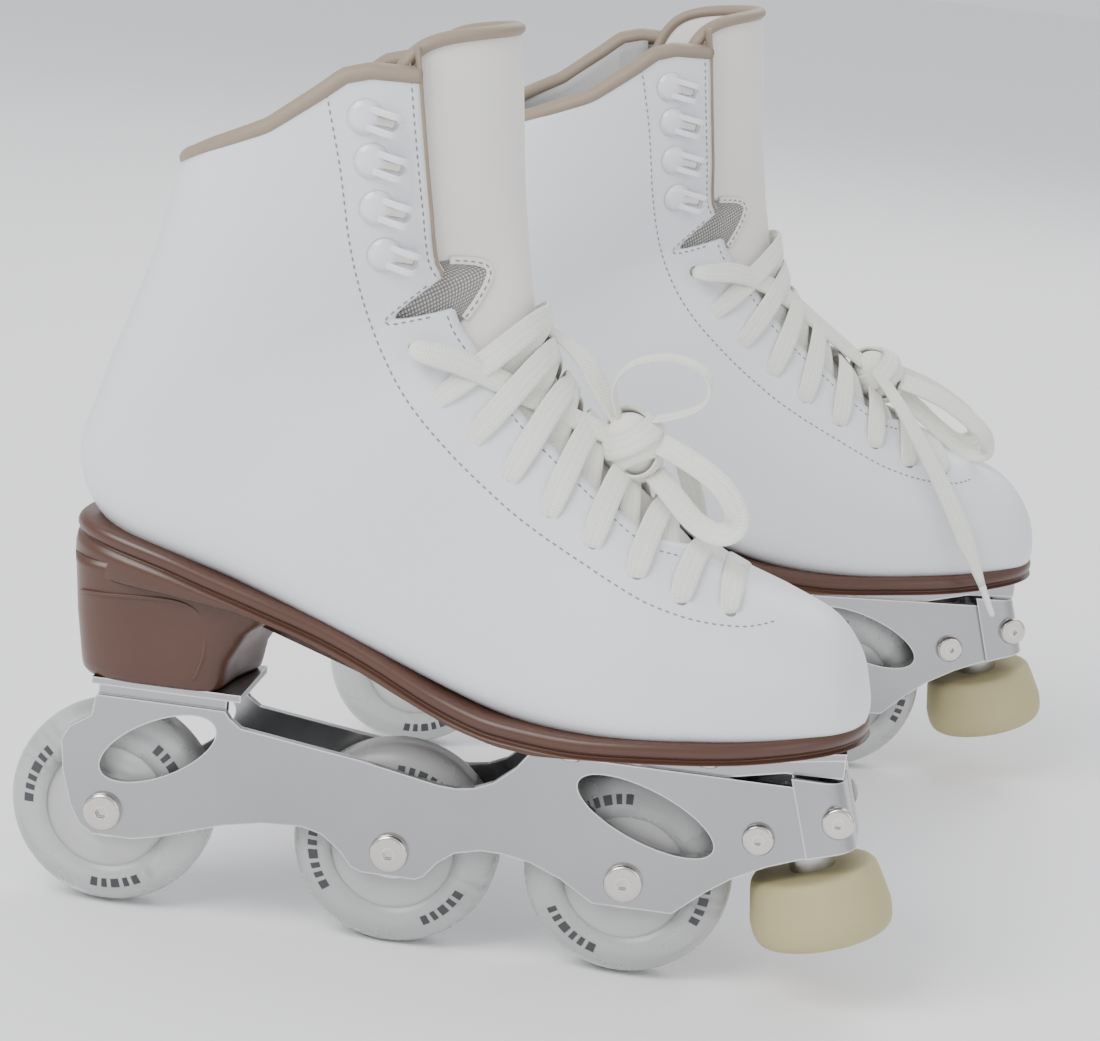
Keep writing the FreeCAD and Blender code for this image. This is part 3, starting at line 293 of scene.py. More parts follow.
def mouldedMaterial(name, low, high, roughness, grain=1500.0, coat=0.0, bump=0.06, edge=0.0):
    material, tree, shader, vector = startMaterial(name, {"Coat Weight": coat, "Coat Roughness": 0.2})
    tone = placeGroup(tree, mottleGroup, {"Scale": 25.0, "Low": (*low, 1), "High": (*high, 1)}, vector)
    skin = placeGroup(tree, grainGroup, {"Scale": grain, "Fine": 0.5}, vector)
    if edge:
        # with an edge radius, the moulded part's edges turn paler than its lighter colour
        edgeAmount = placeGroup(tree, edgeGroup, {"Radius": edge, "Gain": 3.0})
        pale = tuple(min(1, channel * gain) for channel, gain in zip(high, (1.7, 1.7, 1.8)))
        paleEdges = addNode(tree, "ShaderNodeMix", {7: (*pale, 1)}, data_type="RGBA")
        wire(tree, (edgeAmount.outputs["Mask"], paleEdges.inputs[0]), (tone.outputs["Color"], paleEdges.inputs[6]),
             (paleEdges.outputs[2], shader.inputs["Base Color"]))
    else:
        wire(tree, (tone.outputs["Color"], shader.inputs["Base Color"]))
    spread(tree, tone.outputs["Mask"], roughness[0], roughness[1], shader.inputs["Roughness"])
    addBump(tree, shader, skin.outputs["Height"], bump, 0.0003)
    return material


def clearMaterial(name, low, high, roughness, transmission):   # cloudy see-through plastic with scuffs
    material, tree, shader, vector = startMaterial(name, {"Transmission Weight": transmission, "IOR": 1.46})
    tone = placeGroup(tree, mottleGroup, {"Scale": 30.0, "Low": (*low, 1), "High": (*high, 1)}, vector)
    wire(tree, (tone.outputs["Color"], shader.inputs["Base Color"]))
    spread(tree, tone.outputs["Mask"], roughness[0], roughness[1], shader.inputs["Roughness"])
    scuffs = addNode(tree, "ShaderNodeTexNoise", {"Scale": 500.0, "Detail": 6.0})
    wire(tree, (vector, scuffs.inputs["Vector"]))
    addBump(tree, shader, scuffs.outputs["Fac"], 0.05, 0.0002)
    return material


def wovenMaterial(name, low, high, across, along, roughness=0.85, strength=0.6, distance=0.0003, sheen=0.3):
    material, tree, shader, vector = startMaterial(name, {"Roughness": roughness, "Sheen Weight": sheen}, "UV")
    threads = placeGroup(tree, weaveGroup, {"Across": across, "Along": along}, vector)
    # the colour follows the thread height: the darker colour is painted shade in the hollows and gaps between the
    # threads
    tone = addNode(tree, "ShaderNodeMix", {6: (*low, 1), 7: (*high, 1)}, data_type="RGBA")
    wire(tree, (threads.outputs["Height"], tone.inputs[0]), (tone.outputs[2], shader.inputs["Base Color"]))
    addBump(tree, shader, threads.outputs["Height"], strength, distance)
    return material


# each look: maker, darker colour, lighter colour, then what that maker takes
lookTable = {
    "whiteLeather": (leatherMaterial, (0.71, 0.72, 0.765), (0.77, 0.78, 0.815), 1500.0, (0.36, 0.50), {"coat": 0.15}),
    "creamTongue": (leatherMaterial, (0.735, 0.705, 0.67), (0.79, 0.76, 0.725), 1700.0, (0.42, 0.55), {"sheen": 0.1}),
    "taupeBinding": (leatherMaterial, (0.25, 0.195, 0.145), (0.32, 0.255, 0.195), 1800.0, (0.42, 0.6), {}),
    # in the woven looks the darker colour is painted shade between the threads
    "liningFabric": (wovenMaterial, (0.50, 0.50, 0.50), (0.68, 0.68, 0.67), 700.0, 700.0, {"sheen": 0.4}),
    "footbedCloth": (wovenMaterial, (0.30, 0.30, 0.31), (0.42, 0.42, 0.43), 600.0, 600.0, {}),
    "meshCloth": (wovenMaterial, (0.16, 0.155, 0.145), (0.72, 0.70, 0.66), 24.0, 32.0,
                  {"strength": 1.0, "distance": 0.0006}),
    "laceCotton": (wovenMaterial, (0.74, 0.73, 0.66), (0.84, 0.835, 0.785), 31.5, 3.0,
                   {"strength": 0.55, "distance": 0.0003, "sheen": 0.5}),
    "greyThread": (mouldedMaterial, (0.17, 0.17, 0.18), (0.30, 0.30, 0.31), (0.6, 0.8), 2500.0, {}),
    "brownSole": (mouldedMaterial, (0.058, 0.022, 0.012), (0.082, 0.032, 0.018), (0.30, 0.42), 900.0,
                  {"coat": 0.12, "edge": 0.0005}),
    "brushedAluminium": (metalMaterial, (0.34, 0.34, 0.345), (0.46, 0.46, 0.465), (0.18, 0.30), (60, 900, 900),
                         {"edge": 0.0009}),
    "platedSteel": (metalMaterial, (0.55, 0.53, 0.49), (0.68, 0.66, 0.61), (0.12, 0.22), {}),
    "groundSteel": (metalMaterial, (0.48, 0.48, 0.48), (0.60, 0.60, 0.60), (0.2, 0.3), {}),
    "whiteEnamel": (mouldedMaterial, (0.74, 0.74, 0.77), (0.80, 0.80, 0.83), (0.12, 0.2), 400.0,
                    {"coat": 0.6, "bump": 0.02}),
    "khakiRubber": (mouldedMaterial, (0.40, 0.345, 0.175), (0.475, 0.415, 0.225), (0.55, 0.75), 1300.0,
                    {"bump": 0.2, "edge": 0.0010}),
    "clearUrethane": (clearMaterial, (0.55, 0.56, 0.55), (0.66, 0.665, 0.655), (0.20, 0.34), 0.45, {}),
    "milkyHub": (clearMaterial, (0.62, 0.62, 0.61), (0.74, 0.74, 0.73), (0.18, 0.3), 0.35, {}),
    "darkPrint": (mouldedMaterial, (0.035, 0.035, 0.04), (0.06, 0.06, 0.065), (0.35, 0.5), {}),
    "tipPlastic": (mouldedMaterial, (0.78, 0.78, 0.75), (0.84, 0.84, 0.81), (0.15, 0.25), {"coat": 0.4}),
}
looks = {name: row[0](name, *row[1:-1], **row[-1]) for name, row in lookTable.items()}
print("materials", len(looks))


# ------- surfaces: a grid of points becomes a mesh, with a UV map in metres along its rows and columns
def gridFaces(rows, columns, wrapRows=False, wrapColumns=False, base=0):
    r = np.arange(rows if wrapRows else rows - 1)
    c = np.arange(columns if wrapColumns else columns - 1)
    r, c = np.meshgrid(r, c, indexing="ij")
    nextR, nextC = (r + 1) % rows, (c + 1) % columns
    corners = [(r, c), (nextR, c), (nextR, nextC), (r, nextC)]
    return base + np.stack([a * columns + b for a, b in corners], -1).reshape(-1, 4)


def circleOf(around, side, other):   # the unit circle in the plane of two axes
    return np.cos(around)[:, None] * side + np.sin(around)[:, None] * other


def spunProfile(profile, around, wide=1.0):   # (radius, height) points turned round the third axis
    r, h = profile[:, None, 0], profile[:, None, 1]
    return np.stack([r * np.cos(around), r * np.sin(around) * wide, h + 0 * around], -1)


def cappedFaces(rows, columns):   # a tube's faces with a cap at each end
    caps = [tuple(range(columns)), tuple((rows - 1) * columns + np.arange(columns)[::-1])]
    return [tuple(f) for f in gridFaces(rows, columns, wrapColumns=True)] + caps


def makeMesh(name, points, faces, material, smooth=True, uv=None):
    data = bpy.data.meshes.new(name)
    points = np.asarray(points, float)
    faces = [tuple(int(v) for v in f) for f in faces]
    data.from_pydata([tuple(p) for p in points], [], faces)
    data.polygons.foreach_set("use_smooth", np.full(len(data.polygons), smooth))
    layer = data.uv_layers.new(name="UVMap")
    corner = np.zeros(len(data.loops), np.int32)
    data.loops.foreach_get("vertex_index", corner)
    source = points[:, :2] if uv is None else np.asarray(uv, float)
    layer.data.foreach_set("uv", source[corner].astype(np.float32).ravel())
    data.materials.append(looks[material])
    obj = bpy.data.objects.new(name, data)
    bpy.context.scene.collection.objects.link(obj)
    return obj


def tidyMesh(obj, merge=0.00001, recalculate=True):   # merge doubles, drop flat faces, turn faces outwards
    work = bmesh.new()
    work.from_mesh(obj.data)
    bmesh.ops.remove_doubles(work, verts=work.verts, dist=merge)
    bmesh.ops.dissolve_degenerate(work, edges=work.edges, dist=merge / 2)
    if recalculate:
        bmesh.ops.recalc_face_normals(work, faces=work.faces)
    work.to_mesh(obj.data)
    work.free()
    obj.data.update()


def addModifier(obj, kind, **settings):
    modifier = obj.modifiers.new(kind.lower(), kind)
    for key, value in settings.items():
        setattr(modifier, key, value)


def piece(obj, body, replaces=()):
    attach(obj, body)
    if replaces:
        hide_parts(*replaces)


# ------- the boot's form: closed sections on straight lines from its sole or back to its top or front
bootForm = {
    "behind": 17.5, "seat": 85.5, "skew": -0.25, "swing": 5.0,
    # low x, low z, high x, high z, half width, roundness below, roundness above
    "stations": np.array([
        (273.6, 13.0, 274.3, 23.0, 10.0, 2.6, 2.2), (269.5, 11.8, 270.2, 36.0, 22.0, 3.0, 2.2),
        (261.0, 10.8, 260.3, 47.8, 31.0, 4.5, 2.2), (245.0, 9.6, 243.3, 55.6, 38.5, 6.0, 2.2),
        (222.0, 7.8, 219.5, 65.0, 43.5, 7.0, 2.2), (192.5, 5.6, 195.5, 82.6, 45.0, 7.0, 2.1),
        (157.5, 7.0, 172.5, 104.6, 40.5, 6.0, 2.1), (112.5, 20.5, 157.8, 123.5, 36.5, 5.0, 2.1),
        (57.5, 38.5, 151.8, 140.6, 35.0, 3.6, 2.1), (14.5, 49.0, 149.4, 152.6, 33.0, 2.6, 2.1),
        (-2.0, 71.5, 147.8, 161.6, 33.0, 2.1, 2.1), (4.0, 100.5, 146.6, 169.6, 35.0, 2.1, 2.1),
        (17.5, 142.5, 144.6, 182.6, 38.5, 2.1, 2.1), (26.5, 180.5, 141.8, 207.6, 41.0, 2.1, 2.1),
        (32.5, 214.5, 139.3, 232.6, 42.0, 2.1, 2.1)]),
    # the facing's front edge: place along the stations, and its share of the section's line
    "facing": np.array([(4.3, 1.0), (4.5, 0.962), (4.8, 0.915), (5.2, 0.885), (6.0, 0.872), (7.0, 0.85), (8.0, 0.84),
                        (9.0, 0.833), (9.52, 0.832), (9.62, 0.80), (9.86, 0.735), (9.98, 0.716), (10.1, 0.722),
                        (10.42, 0.79), (10.56, 0.812), (10.7, 0.815), (11.0, 0.80), (12.0, 0.768), (13.0, 0.73),
                        (14.0, 0.69), (15.0, 0.65)]),
    "collar": np.array([(-10.0, 176.0), (27.5, 180.5), (41.0, 187.9), (61.0, 197.2), (77.2, 209.8), (84.5, 216.0),
                        (92.5, 218.3), (150.0, 218.0)]),
    "welt": np.array([(-6.0, 54.5), (4.0, 53.5), (31.0, 48.5), (51.5, 42.8), (70.5, 37.4), (89.3, 31.6), (108.3, 24.3),
                      (128.0, 15.6), (142.5, 10.8), (155.0, 8.5), (179.5, 7.3), (205.8, 8.8), (231.3, 10.5),
                      (256.8, 13.1), (290.0, 16.0)]),
}


def smoothTable(table, at):   # Catmull-Rom between the rows of a table, at a row number that may be broken
    at = np.asarray(at, float)
    i = np.clip(np.floor(at).astype(int), 0, len(table) - 2)
    f = (at - i)[..., None]
    rows = [table[np.clip(i + k, 0, len(table) - 1)] for k in (-1, 0, 1, 2)]
    a, b, c, d = rows
    return 0.5 * (2 * b + (c - a) * f + (2 * a - 5 * b + 4 * c - d) * f ** 2 + (3 * b - a - 3 * c + d) * f ** 3)


def sectionPolar(angle, below, above):   # superellipse in polar form: radius 1 where it is round
    power = np.where(np.sin(angle) > 0, above, below)
    radius = (np.abs(np.cos(angle)) ** power + np.abs(np.sin(angle)) ** power) ** (-1 / power)
    return radius * np.cos(angle), radius * np.sin(angle)


def angleOf(share, below, above):   # the angle whose point lies at that share of a section's line
    samples = np.linspace(-np.pi / 2, np.pi / 2, 721)
    share, below, above = np.broadcast_arrays(share, below, above)
    result = np.empty(share.shape)
    flat = result.ravel()
    for i, (s, b, a) in enumerate(zip(share.ravel(), below.ravel(), above.ravel())):
        t = sectionPolar(samples, b, a)[1]
        flat[i] = np.interp(s, (1 + t + bootForm["skew"] * (1 - t * t)) / 2, samples)
    return flat.reshape(share.shape)


def bootPoint(at, angle, inset, place):   # a point of the boot's form, inset millimetres inside it
    row = smoothTable(bootForm["stations"], at)
    x0, z0, x1, z1, wide, below, above = np.moveaxis(row, -1, 0)
    length = np.hypot(x1 - x0, z1 - z0)
    c, t = sectionPolar(angle, below, above)
    along = inset + (1 + t + bootForm["skew"] * (1 - t * t)) / 2 * (length - 2 * inset)
    y = (wide - inset) * c + place["bigToe"] * bootForm["swing"] * np.maximum(0, (x0 - 120) / 150) ** 2
    x = x0 + (x1 - x0) * along / length - bootForm["behind"]
    z = z0 + (z1 - z0) * along / length + bootForm["seat"]
    return np.stack([x, y, z], -1)


def facingAngle(at):   # the facing edge as a section angle
    at = np.asarray(at, float)
    share = np.interp(at, *bootForm["facing"].T)
    row = smoothTable(bootForm["stations"], at)
    return np.where(at <= bootForm["facing"][0, 0], np.pi / 2, angleOf(share, row[..., 5], row[..., 6]))


def collarHeight(x):
    line = bootForm["collar"]
    return np.interp(x, line[:, 0] - bootForm["behind"], line[:, 1] + bootForm["seat"])


def weltHeight(x):
    line = bootForm["welt"]
    fine = smoothTable(line, np.linspace(0, len(line) - 1, 200))
    return np.interp(x, fine[:, 0] - bootForm["behind"], fine[:, 1] + bootForm["seat"])


def sectionLines(at):   # each section's line from its low end to its high end, and its roundness
    row = smoothTable(bootForm["stations"], at)
    low = row[:, :2] + (-bootForm["behind"], bootForm["seat"])
    high = row[:, 2:4] + (-bootForm["behind"], bootForm["seat"])
    return row, *low.T, *high.T, np.hypot(*(high - low).T)


def findOnBoot(xs, zs, sign, out, place):   # points on the boot's side at given x and z, out millimetres proud
    at = np.linspace(0.2, 14.6, 900)
    row, x0, z0, x1, z1, length = sectionLines(at)
    found, angles = [], []
    for x, z in zip(xs, zs):
        share = ((x - x0) * (x1 - x0) + (z - z0) * (z1 - z0)) / length ** 2
        miss = np.hypot(x - x0 - share * (x1 - x0), z - z0 - share * (z1 - z0)) + 1000 * (np.abs(share - 0.5) > 0.5)
        i = int(np.argmin(miss))
        angle = float(angleOf(np.array(share[i]), row[i, 5], row[i, 6]))
        found.append(at[i])
        angles.append(angle if sign > 0 else np.pi - angle)
    found, angles = np.array(found), np.array(angles)
    return bootPoint(found, angles, -out, place), bootNormal(found, angles, place)


def bootNormal(at, angle, place):
    step = 0.02
    alongBoot = bootPoint(at + step, angle, 0, place) - bootPoint(at - step, angle, 0, place)
    around = bootPoint(at, angle + step, 0, place) - bootPoint(at, angle - step, 0, place)
    normal = np.cross(alongBoot, around)
    return normal / np.linalg.norm(normal, axis=-1, keepdims=True)


upperForm = {"wall": 3.4, "rows": 150, "columns": 96}


def upperGrid(place, inset, firstRow, lastRow, rows, columns, drop, edge=0.0):
    # the boot's form from facing edge under the foot to facing edge, stopped drop millimetres under the collar line
    rough = np.linspace(8, 14.9, 160)
    c = np.linspace(0, 1, columns)
    start = facingAngle(rough)[:, None] - edge
    angle = start - (np.pi + 2 * start) * c[None, :]
    p = bootPoint(rough[:, None], angle, inset, place)
    over = p[..., 2] - (collarHeight(p[..., 0]) - drop)
    index = np.argmax(over > 0, axis=0)
    index = np.where(over.max(axis=0) > 0, np.maximum(index, 1), len(rough) - 1)
    lane = np.arange(columns)
    a, b = over[index - 1, lane], over[index, lane]
    top = rough[index - 1] + (rough[index] - rough[index - 1]) * np.clip(-a / (b - a + 1e-9), 0, 1)
    r = np.linspace(0, 1, rows)
    at = firstRow + (lastRow - firstRow) * r
    bend = 8.0
    above = bend + (at[:, None] - bend) / (lastRow - bend) * (top[None, :] - bend)
    grid = np.where(at[:, None] <= bend, at[:, None], above)
    fine = np.linspace(0, 14.95, 1200)
    edgeAngle = np.interp(grid, fine, facingAngle(fine)) - edge
    angle = edgeAngle - (np.pi + 2 * edgeAngle) * c[None, :]
    return bootPoint(grid, angle, inset, place)


def makeUpper(place):
    rows, columns = upperForm["rows"], upperForm["columns"]
    grid = upperGrid(place, 0, 0.0, 14.0, rows, columns, 3.0)
    tip = np.broadcast_to(grid[0].mean(axis=0), (1, columns, 3))
    half = (grid[0] + tip[0]) / 2 + np.array([0.7, 0, 0])
    grid = np.concatenate([tip + np.array([1.0, 0, 0]), half[None], grid])
    points = toRow(place, grid.reshape(-1, 3))
    obj = makeMesh(place["name"] + "Upper", points, gridFaces(rows + 2, columns), "whiteLeather")
    tidyMesh(obj, 0.00002)
    addModifier(obj, "SOLIDIFY", thickness=upperForm["wall"] * mm, offset=-1, use_even_offset=False, use_rim=True)
    piece(obj, place["name"] + "_skate", [place["name"] + "_upper"])


def formPatch(place, name, look, at, angle, spec, replaces=()):
    # a sheet of the boot's form over rows of places and columns of angles, given a wall on its inner side
    points = bootPoint(at, angle, spec["inset"], place)
    rows, columns = points.shape[:2]
    length = np.linalg.norm(np.diff(points, axis=0), axis=-1).mean(axis=1)
    around = np.linalg.norm(np.diff(points, axis=1), axis=-1).mean(axis=0)
    v = np.concatenate([[0], np.cumsum(length)])
    u = np.concatenate([[0], np.cumsum(around)])
    uv = np.stack(np.meshgrid(v, u, indexing="ij"), -1).reshape(-1, 2) * 0.1
    points = toRow(place, points.reshape(-1, 3))
    obj = makeMesh(place["name"] + name, points, gridFaces(rows, columns), look, uv=uv)
    tidyMesh(obj, 0.00002)
    addModifier(obj, "SOLIDIFY", thickness=spec["wall"] * mm, offset=-1, use_rim=True)
    piece(obj, place["name"] + "_skate", replaces)


liningForm = {"inset": 4.2, "wall": 2.4, "edge": 0.20}
footbedForm = {"inset": 9.2, "wall": 3.0, "rows": (1.6, 8.8), "angles": (-142, -38)}


def makeLining(place):
    rows, columns = 60, 60
    grid = upperGrid(place, liningForm["inset"], 4.2, 14.0, rows, columns, 3.0, liningForm["edge"])
    uv = np.stack(np.meshgrid(np.linspace(0, 26, rows), np.linspace(0, 30, columns), indexing="ij"), -1).reshape(-1, 2)
    points = toRow(place, grid.reshape(-1, 3))
    obj = makeMesh(place["name"] + "Lining", points, gridFaces(rows, columns), "liningFabric", uv=uv)
    tidyMesh(obj, 0.00002)
    addModifier(obj, "SOLIDIFY", thickness=liningForm["wall"] * mm, offset=-1, use_rim=True)
    piece(obj, place["name"] + "_skate", [place["name"] + "_lining"])


def makeFootbed(place):
    spec = footbedForm
    angles = np.radians(np.linspace(*spec["angles"], 24))
    at, angle = np.meshgrid(np.linspace(*spec["rows"], 40), angles, indexing="ij")
    formPatch(place, "Footbed", "footbedCloth", at, angle, spec, [place["name"] + "_footbed"])


# tongue: a pillow from the toe of the throat to above the collar; its skin sinks to one line all round
tongueForm = {"first": 4.3, "last": 14.02, "corner": 0.85, "outer": 4.3, "seam": 7.2, "inner": 10.0, "tuck": 0.07,
              "bendLow": 232.0, "bendHigh": 268.0, "bendX": 124.0}


def tonguePlaces(spec, rows, columns):
    c = np.sin(np.linspace(-1, 1, columns) * np.pi / 2)
    r = np.linspace(0, 1, rows)
    r = r + 0.12 * np.sin(2 * np.pi * r) / (2 * np.pi)
    top = spec["last"] - spec["corner"] * np.abs(c) ** 7
    low = spec["first"] + 0.25 * np.abs(c) ** 3
    at = low[None, :] + (top - low)[None, :] * r[:, None]
    fine = np.linspace(0, 14.95, 1200)
    smoothEdge = np.interp(fine, [4.3, 4.8, 6, 8, 10, 12, 14, 15], [1.5, 1.05, 0.86, 0.76, 0.70, 0.60, 0.46, 0.39])
    edge = np.interp(at, fine, np.minimum(facingAngle(fine), smoothEdge)) - spec["tuck"]
    angle = np.pi / 2 + (np.pi / 2 - edge) * c[None, :]
    border = 1 - np.maximum(np.abs(c)[None, :], np.abs(2 * r[:, None] - 1)) ** 14
    return at, angle, np.clip(border, 0, 1) ** 0.5


def makeTongue(place):
    spec = tongueForm
    rows, columns = 110, 44
    at, angle, swell = tonguePlaces(spec, rows, columns)
    front = bootPoint(at, angle, spec["seam"] + (spec["outer"] - spec["seam"]) * swell, place)
    back = bootPoint(at, angle, spec["seam"] + (spec["inner"] - spec["seam"]) * swell, place)
    points = np.concatenate([front.reshape(-1, 3), back.reshape(-1, 3)])
    faces = np.concatenate([gridFaces(rows, columns), gridFaces(rows, columns, base=rows * columns)[:, ::-1]])
    obj = makeMesh(place["name"] + "Tongue", toRow(place, points), faces, "creamTongue")
    tidyMesh(obj, 0.00005)
    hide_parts(place["name"] + "_tongue_lower", place["name"] + "_tongue_upper")
    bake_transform(obj)


# a strip or tube carried along a path: the section is laid across each point's own side and normal directions
def sweepPath(path, side, normal, section):
    grid = path[:, None] + side[:, None] * section[None, :, :1] + normal[:, None] * section[None, :, 1:]
    return grid.reshape(-1, 3), cappedFaces(*grid.shape[:2])


def pathFrame(path, normal, closedPath=False):   # unit side directions square to the path and the wanted normals
    ahead = np.roll(path, -1, axis=0) - np.roll(path, 1, axis=0)
    if not closedPath:
        ahead[0], ahead[-1] = path[1] - path[0], path[-1] - path[-2]
    ahead /= np.linalg.norm(ahead, axis=1, keepdims=True)
    normal = np.broadcast_to(np.asarray(normal, float), path.shape)
    side = np.cross(ahead, normal)
    side /= np.linalg.norm(side, axis=1, keepdims=True)
    return ahead, side, np.cross(side, ahead)


def smoothPath(points, count):   # evenly spaced places on a Catmull-Rom curve through the points
    points = np.asarray(points, float)
    fine = smoothTable(points, np.linspace(0, len(points) - 1, 40 * len(points)))
    run = np.concatenate([[0], np.cumsum(np.linalg.norm(np.diff(fine, axis=0), axis=1))])
    return np.stack([np.interp(np.linspace(0, run[-1], count), run, fine[:, k]) for k in range(3)], -1)


def flatSection():   # a flat lace's section, 1 by 1: a rounded bar, a touch thinner at its middle
    quarter = np.array([0, 22, 40, 55, 68])
    back = quarter[:0:-1]
    angle = np.radians(np.concatenate([quarter, [90], 180 - back, 180 + quarter, [270], 360 - back]))
    x = np.sign(np.cos(angle)) * np.abs(np.cos(angle)) ** 0.55
    y = np.sign(np.sin(angle)) * np.abs(np.sin(angle)) ** 0.6
    return np.stack([x / 2, y / 2 * (0.86 + 0.14 * np.abs(x))], -1)


def makeStrip(place, name, path, normal, width, thick, look, widths=None, closedPath=False):
    section = flatSection()
    _, side, up = pathFrame(path, normal, closedPath)
    widths = np.full(len(path), 1.0) if widths is None else widths
    across = side * (width * widths)[:, None]
    grid = path[:, None] + across[:, None] * section[None, :, :1] + up[:, None] * section[None, :, 1:] * thick
    rows, columns = grid.shape[:2]
    faces = gridFaces(rows, columns, wrapRows=True, wrapColumns=True) if closedPath else cappedFaces(rows, columns)
    run = np.concatenate([[0], np.cumsum(np.linalg.norm(np.diff(path, axis=0), axis=1))])
    edge = np.abs(np.linspace(-1, 1, columns))
    uv = np.stack(np.meshgrid(run, edge * 0.9, indexing="ij"), -1)[..., ::-1].reshape(-1, 2)
    return makeMesh(place["name"] + name, toRow(place, grid.reshape(-1, 3)), faces, look, uv=uv)


def joinPieces(objs, name):   # several meshes into one
    bpy.ops.object.select_all(action="DESELECT")
    for obj in objs:
        obj.select_set(True)
    bpy.context.view_layer.objects.active = objs[0]
    bpy.ops.object.join()
    objs[0].name = name
    objs[0].data.name = name
    return objs[0]


# stitches: short thread bars laid along a path, each a box pinched at both ends
stitchForm = {"step": 2.7, "long": 1.75, "wide": 0.55, "high": 0.32}


def makeStitches(place, name, paths):
    spec = stitchForm
    end = 0.28
    shape = np.array([(-0.5, 0, 0), (-end, 0.5, 0), (-end, 0, 1), (-end, -0.5, 0), (end, 0.5, 0), (end, 0, 1),
                      (end, -0.5, 0), (0.5, 0, 0)])
    size = np.array([spec["long"], spec["wide"], spec["high"]])
    faces = [(0, 2, 1), (0, 3, 2), (0, 1, 3), (1, 2, 5, 4), (2, 3, 6, 5), (3, 1, 4, 6), (7, 4, 5), (7, 5, 6), (7, 6, 4)]
    allPoints, allFaces, base = [], [], 0
    for path, normal in paths:
        run = np.concatenate([[0], np.cumsum(np.linalg.norm(np.diff(path, axis=0), axis=1))])
        middles = np.arange(spec["step"] / 2, run[-1], spec["step"])
        at = np.stack([np.interp(middles, run, path[:, k]) for k in range(3)], -1)
        out = np.stack([np.interp(middles, run, normal[:, k]) for k in range(3)], -1)
        axes = np.stack(pathFrame(at, out), 1)
        allPoints.append((at[:, None] + (shape * size) @ axes).reshape(-1, 3))
        for i in range(len(at)):
            allFaces += [tuple(base + i * 8 + v for v in f) for f in faces]
        base += len(at) * 8
    points = toRow(place, np.concatenate(allPoints))
    obj = makeMesh(place["name"] + name, points, allFaces, "greyThread", smooth=False)
    tidyMesh(obj, 0.000001)
    piece(obj, place["name"] + "_skate")


# the long seam behind the facing, seen from the side, and the rows along the facing's edge with their gaps
facingSeam = [(61.0, 296.5), (67.9, 269.5), (72.4, 245.5), (77.8, 225.9), (85.1, 209.5), (94.9, 195.5), (109.7, 181.3),
              (123.5, 170.5), (137.4, 161.2), (150.7, 154.2), (163.8, 147.8), (181, 140.1), (197.7, 135.6),
              (212.9, 134.2), (222.5, 135.6)]
edgeSeams = [(4.55, 9.45, 3.0), (9.6, 10.5, 3.4), (10.62, 13.75, 3.2)]


def facingLine(place, first, last, gap, sign, out, count=160):   # a line gap millimetres behind the facing edge
    at = np.linspace(first, last, count)
    row = smoothTable(bootForm["stations"], at)
    length = np.hypot(row[:, 2] - row[:, 0], row[:, 3] - row[:, 1])
    share = np.interp(at, *bootForm["facing"].T) - gap / length
    angle = angleOf(share, row[:, 5], row[:, 6])
    angle = angle if sign > 0 else np.pi - angle
    return bootPoint(at, angle, -out, place), bootNormal(at, angle, place)


def makeSeams(place):
    paths = []
    for sign in (-1, 1):
        line = smoothPath([(x, 0, z) for x, z in facingSeam], 60)
        points, normals = findOnBoot(line[:, 0], line[:, 2], sign, 0.05, place)
        paths.append((smoothPath(points, 160), smoothPath(normals, 160)))
        paths += [facingLine(place, *rows, sign, 0.05) for rows in edgeSeams]
    toe = np.linspace(-1, 1, 24)
    at = 3.76 + 0.16 * toe ** 2
    angle = np.pi / 2 + 0.33 * toe
    paths.append((bootPoint(at, angle, -0.05, place), bootNormal(at, angle, place)))
    makeStitches(place, "Stitching", paths)


# binding: a rolled strip over the collar's rim, and a thin one down each hook panel's front edge
bindingForm = {"across": 4.3, "high": 3.1, "edgeAcross": 2.4, "edgeHigh": 0.9, "insets": (-0.3, 6.4), "drop": 2.6}


def roundSection(a, b, count=14):
    angle = np.linspace(0, 2 * np.pi, count, endpoint=False)
    return np.stack([a * np.cos(angle), b * np.sin(angle)], -1)


